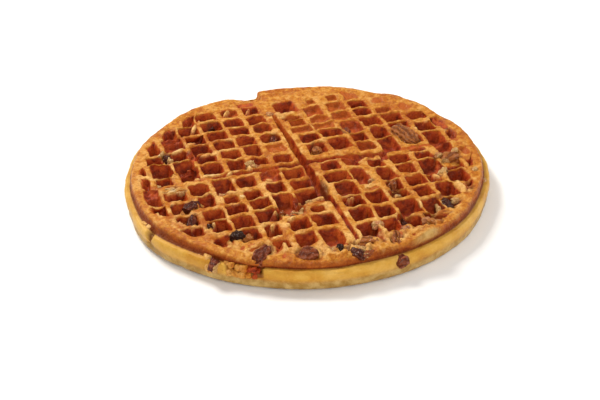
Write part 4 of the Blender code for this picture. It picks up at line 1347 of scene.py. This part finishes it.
def flattened(points, facing, share, hard):
    """Points pressed back where they stand past a plane, which lies at a share of their reach that way,
    and how far past it they stood."""
    facing = facing / np.linalg.norm(facing)
    over = points @ facing - (points.reshape(-1, 3) @ facing).max() * share
    return points - hard * np.maximum(over, 0)[..., None] * facing, over


def nut_shape(length, width, height, seed, broken, split):
    """A piece of pecan along X: lobed and furrowed, one end blunter, with part of it broken away."""
    draw = np.random.default_rng(seed)
    rough = Noise(2.6, seed + 100)
    along = np.linspace(0, math.pi, NUT_ALONG + 1)[1:-1]
    around = np.linspace(0, math.tau, NUT_AROUND, endpoint=False)
    a, r = np.meshgrid(along, around, indexing="ij")
    x = -np.cos(a)
    span = np.sin(a) ** 0.6
    wave = 0.3 * np.sin(2.2 * x + draw.uniform(0, 6))
    place = (x * length / 2, np.cos(r) * width / 2, np.sin(r) * height / 2)
    twist = r + wave + 0.3 * rough(*place)
    whole = smooth(length, 11.0, 18.0)
    ridges = (0.5 + 0.5 * np.cos((9 if whole > 0.5 else 6) * twist + draw.uniform(0, 6))) ** 0.7
    furrow = np.exp(-((((r - math.pi / 2 + math.pi) % math.tau) - math.pi) / 0.22) ** 2)
    furrow = furrow * max(0.35 + 0.65 * whole, split)
    shape = 1 - (0.07 + 0.07 * whole) * (1 - ridges) - (0.22 + 0.3 * split) * furrow
    uneven = 0.22 * rough(*(v + 9 for v in place)) + 0.1 * Noise(1.3, seed + 200)(*place)
    shape = shape * (1 - 0.14 * x) + uneven
    points = np.stack(
        [x * length / 2, np.cos(r) * span * shape * width / 2, np.sin(r) * span * shape * height / 2], -1
    )
    for _ in range(NUT_FACETS):
        facing = draw.normal(size=3) * (1.0, 0.8, 0.45)
        points = flattened(points, facing, 0.68 + 0.26 * whole, 0.8)[0]
    cut = np.zeros_like(x)
    if broken > 0:
        end = 1.0 if broken > 0.35 else draw.choice((-1.0, 1.0))
        facing = np.array([end, 0.5 * draw.normal(), 0.35 * draw.normal()])
        points, over = flattened(points, facing, 1 - broken, 0.9)
        cut = smooth(over, -0.15, 0.15)
    faces = capped_faces(points.shape[0], NUT_AROUND, False)
    tips = np.array([[-length / 2, 0, 0], [length / 2, 0, 0]])
    ridge = np.concatenate([(ridges * (1 - furrow)).ravel(), [0.5, 0.5]])
    cut = np.concatenate([cut.ravel(), [0, 0]])
    return np.concatenate([points.reshape(-1, 3), tips]), faces, ridge, cut


def chunk_shape(size, seed, rugged):
    """A small piece broken on several sides: directions pushed out to a handful of soft planes, then
    roughened."""
    draw = np.random.default_rng(seed)
    around = np.linspace(0, math.tau, CHUNK_AROUND, endpoint=False)
    along = np.linspace(0, math.pi, CHUNK_ALONG + 1)[1:-1]
    a, r = np.meshgrid(along, around, indexing="ij")
    way = np.stack([np.sin(a) * np.cos(r), np.sin(a) * np.sin(r), np.cos(a)], -1).reshape(-1, 3)
    way = np.concatenate([way, [[0, 0, 1], [0, 0, -1]]])
    planes = draw.normal(size=(CHUNK_PLANES, 3))
    planes /= np.linalg.norm(planes, axis=1)[:, None] * draw.uniform(0.75, 1.05, (CHUNK_PLANES, 1))
    planes = np.concatenate([planes, np.eye(3), -np.eye(3)])
    reach = (np.maximum(way @ planes.T, 0) ** CHUNK_SHARPNESS).sum(1) ** (-1 / CHUNK_SHARPNESS)
    points = way * np.minimum(reach, 1.3)[:, None] * 1.08
    rough = Noise(0.6, seed + 7)(*points.T)
    points = points * (1 + rugged * rough)[:, None]
    faces = capped_faces(len(along), CHUNK_AROUND, True)
    return points * (np.array(size) / 2), faces


def joined(name, chunks):
    """One object from several pieces: each is its points, its faces and one value for each mask."""
    points, faces, masks = [], [], {}
    start = 0
    for spots, sides, values in chunks:
        points.append(spots)
        faces += [[v + start for v in side] for side in sides]
        for mask, value in values.items():
            masks.setdefault(mask, []).append(np.broadcast_to(value, len(spots)))
        start += len(spots)
    masks = {mask: np.concatenate(values) for mask, values in masks.items()}
    return mesh_object(name, np.concatenate(points), faces, masks)


def add_nut_bits(skin, height_at):
    """The chopped bits, joined as one piece that lies in the crust."""
    chunks = []
    for seed, (x, y, long, wide, high, turn, tint, broken, over) in enumerate(NUT_BITS):
        draw = np.random.default_rng(seed + 300)
        size = (BIT_SHRINK * long, BIT_SHRINK * wide, high)
        points, faces = chunk_shape(size, seed + 400, BIT_RUGGED)
        tilt = Matrix.Rotation(math.radians(draw.uniform(-12, 12)), 3, "Y")
        place = Matrix.Rotation(math.radians(turn), 3, "Z") @ tilt
        worn = Noise(1.6, seed + 500)(*points.T)
        meat = smooth(worn * 0.6 + broken, 0.45, 0.6)
        ridge = 0.6 + 0.5 * Noise(0.9, seed + 600)(points[:, 0], points[:, 1] * 2, points[:, 2])
        z = min(height_at(x, y), THICKNESS + 0.4) + over - high * 0.36
        points = points @ np.array(place).T + (x, y, z)
        chunks.append((points, faces, {"ridge": ridge, "broken": meat, "tint": tint}))
    bits = joined("nut_bits", chunks)
    bits.data.materials.append(skin)
    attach(bits, "root")


def add_crumbs(crust):
    """The crumbs of crust, joined as one piece."""
    chunks = []
    for seed, (angle, radius, z, size, red) in enumerate(CRUMBS):
        draw = np.random.default_rng(seed + 700)
        points, faces = chunk_shape(size * draw.uniform(0.85, 1.15, 3), seed + 800, CRUMB_RUGGED)
        turn = math.radians(angle)
        points = points @ np.array(Matrix.Rotation(turn, 3, "Z")).T
        points = points + (radius * math.cos(turn), radius * math.sin(turn), z)
        chunks.append((points, faces, {"pocket": max(red, 0.0), "pale_and_highlight": max(-red, 0.0), "share": 1.0}))
    crumbs = joined("crust_crumbs", chunks)
    crumbs.data.materials.append(crust)
    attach(crumbs, "root")


def add_pecans(skin):
    """Each pecan piece, in the place of its node."""
    for seed, (name, x, y, z, length, width, height, turn, tilt, tint, broken, _) in enumerate(PECANS):
        split = 1.0 if name in SPLIT_PECANS else 0.0
        points, faces, ridge, cut = nut_shape(length, width, height, seed + 60, broken, split)
        place = Matrix.Rotation(math.radians(turn), 3, "Z") @ Matrix.Rotation(math.radians(tilt), 3, "Y")
        points = points @ np.array(place).T + (x, y, z)
        masks = {"ridge": ridge, "broken": cut, "tint": np.full(len(points), tint)}
        nut = mesh_object(f"{name}_nut", points, faces, masks)
        nut.data.materials.append(skin)
        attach(nut, "root")
        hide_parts(name)


# Lights: name, place and size in metres, power in watts, and colour
LIGHTS = (
    ("key", (-0.35, 0.60, 0.85), 0.40, 11.6, (1.0, 0.97, 0.92)),
    ("right", (0.95, 0.05, 0.45), 0.45, 3.8, (1.0, 0.98, 0.95)),
    ("fill", (-0.15, -0.9, 0.50), 0.8, 5.0, (1.0, 0.98, 0.96)),
)
LIT_POINT = Vector((0.0, 0.0, 0.01))
SKY_COLOUR = (1.0, 0.99, 0.97, 1.0)
SKY_STRENGTH = 0.4
FLOOR_SIZE = 8.0
FLOOR_HEIGHT = -0.0002


def add_camera():
    """The photograph's camera, from the fitted angles."""
    rise, turn, roll = (math.radians(v) for v in (CAMERA_ELEVATION, CAMERA_TURN, CAMERA_ROLL))
    forward = Vector((math.cos(rise) * math.sin(turn), math.cos(rise) * math.cos(turn), -math.sin(rise)))
    level = Vector((math.cos(turn), -math.sin(turn), 0.0))
    upward = level.cross(forward)
    right = math.cos(roll) * level + math.sin(roll) * upward
    up = math.cos(roll) * upward - math.sin(roll) * level
    data = bpy.data.cameras.new("camera")
    data.sensor_width = SENSOR_WIDTH
    data.lens = CAMERA_FOCAL_PX * SENSOR_WIDTH / IMAGE_WIDTH_PX
    data.shift_x = -CAMERA_OFFSET_PX[0] / IMAGE_WIDTH_PX
    data.shift_y = CAMERA_OFFSET_PX[1] / IMAGE_WIDTH_PX
    camera = bpy.data.objects.new("camera", data)
    axes = Matrix((right, up, -forward)).transposed()
    camera.matrix_world = Matrix.Translation(-forward * CAMERA_DISTANCE * MM) @ axes.to_4x4()
    bpy.context.scene.collection.objects.link(camera)
    bpy.context.scene.camera = camera


def add_light(name, place, size, power, colour):
    """A square light that faces the waffle."""
    data = bpy.data.lights.new(name, "AREA")
    data.size = size
    data.energy = power
    data.color = colour
    light = bpy.data.objects.new(name, data)
    light.location = place
    light.rotation_euler = (LIT_POINT - Vector(place)).to_track_quat("-Z", "Y").to_euler()
    bpy.context.scene.collection.objects.link(light)


def add_surroundings():
    """Plain pale floor, soft lights and a pale sky."""
    bpy.ops.mesh.primitive_plane_add(size=FLOOR_SIZE, location=(0, 0, FLOOR_HEIGHT))
    floor = bpy.context.object
    floor.name = "floor"
    n = Nodes("floor")
    paint = n.finish(Base_Color=(0.92, 0.92, 0.92), Roughness=0.8, Specular_IOR_Level=0.1)
    floor.data.materials.append(paint)
    world = bpy.data.worlds.new("sky")
    world.use_nodes = True
    sky = world.node_tree.nodes["Background"].inputs
    sky["Color"].default_value = SKY_COLOUR
    sky["Strength"].default_value = SKY_STRENGTH
    bpy.context.scene.world = world
    for light in LIGHTS:
        add_light(*light)
    bpy.context.scene.view_settings.view_transform = "Standard"


add_camera()
add_surroundings()
crust_look = crust_material()
nut_look = nut_material()
surface_height = add_waffle(crust_look)
add_pecans(nut_look)
add_nut_bits(nut_look, surface_height)
add_crumbs(crust_look)
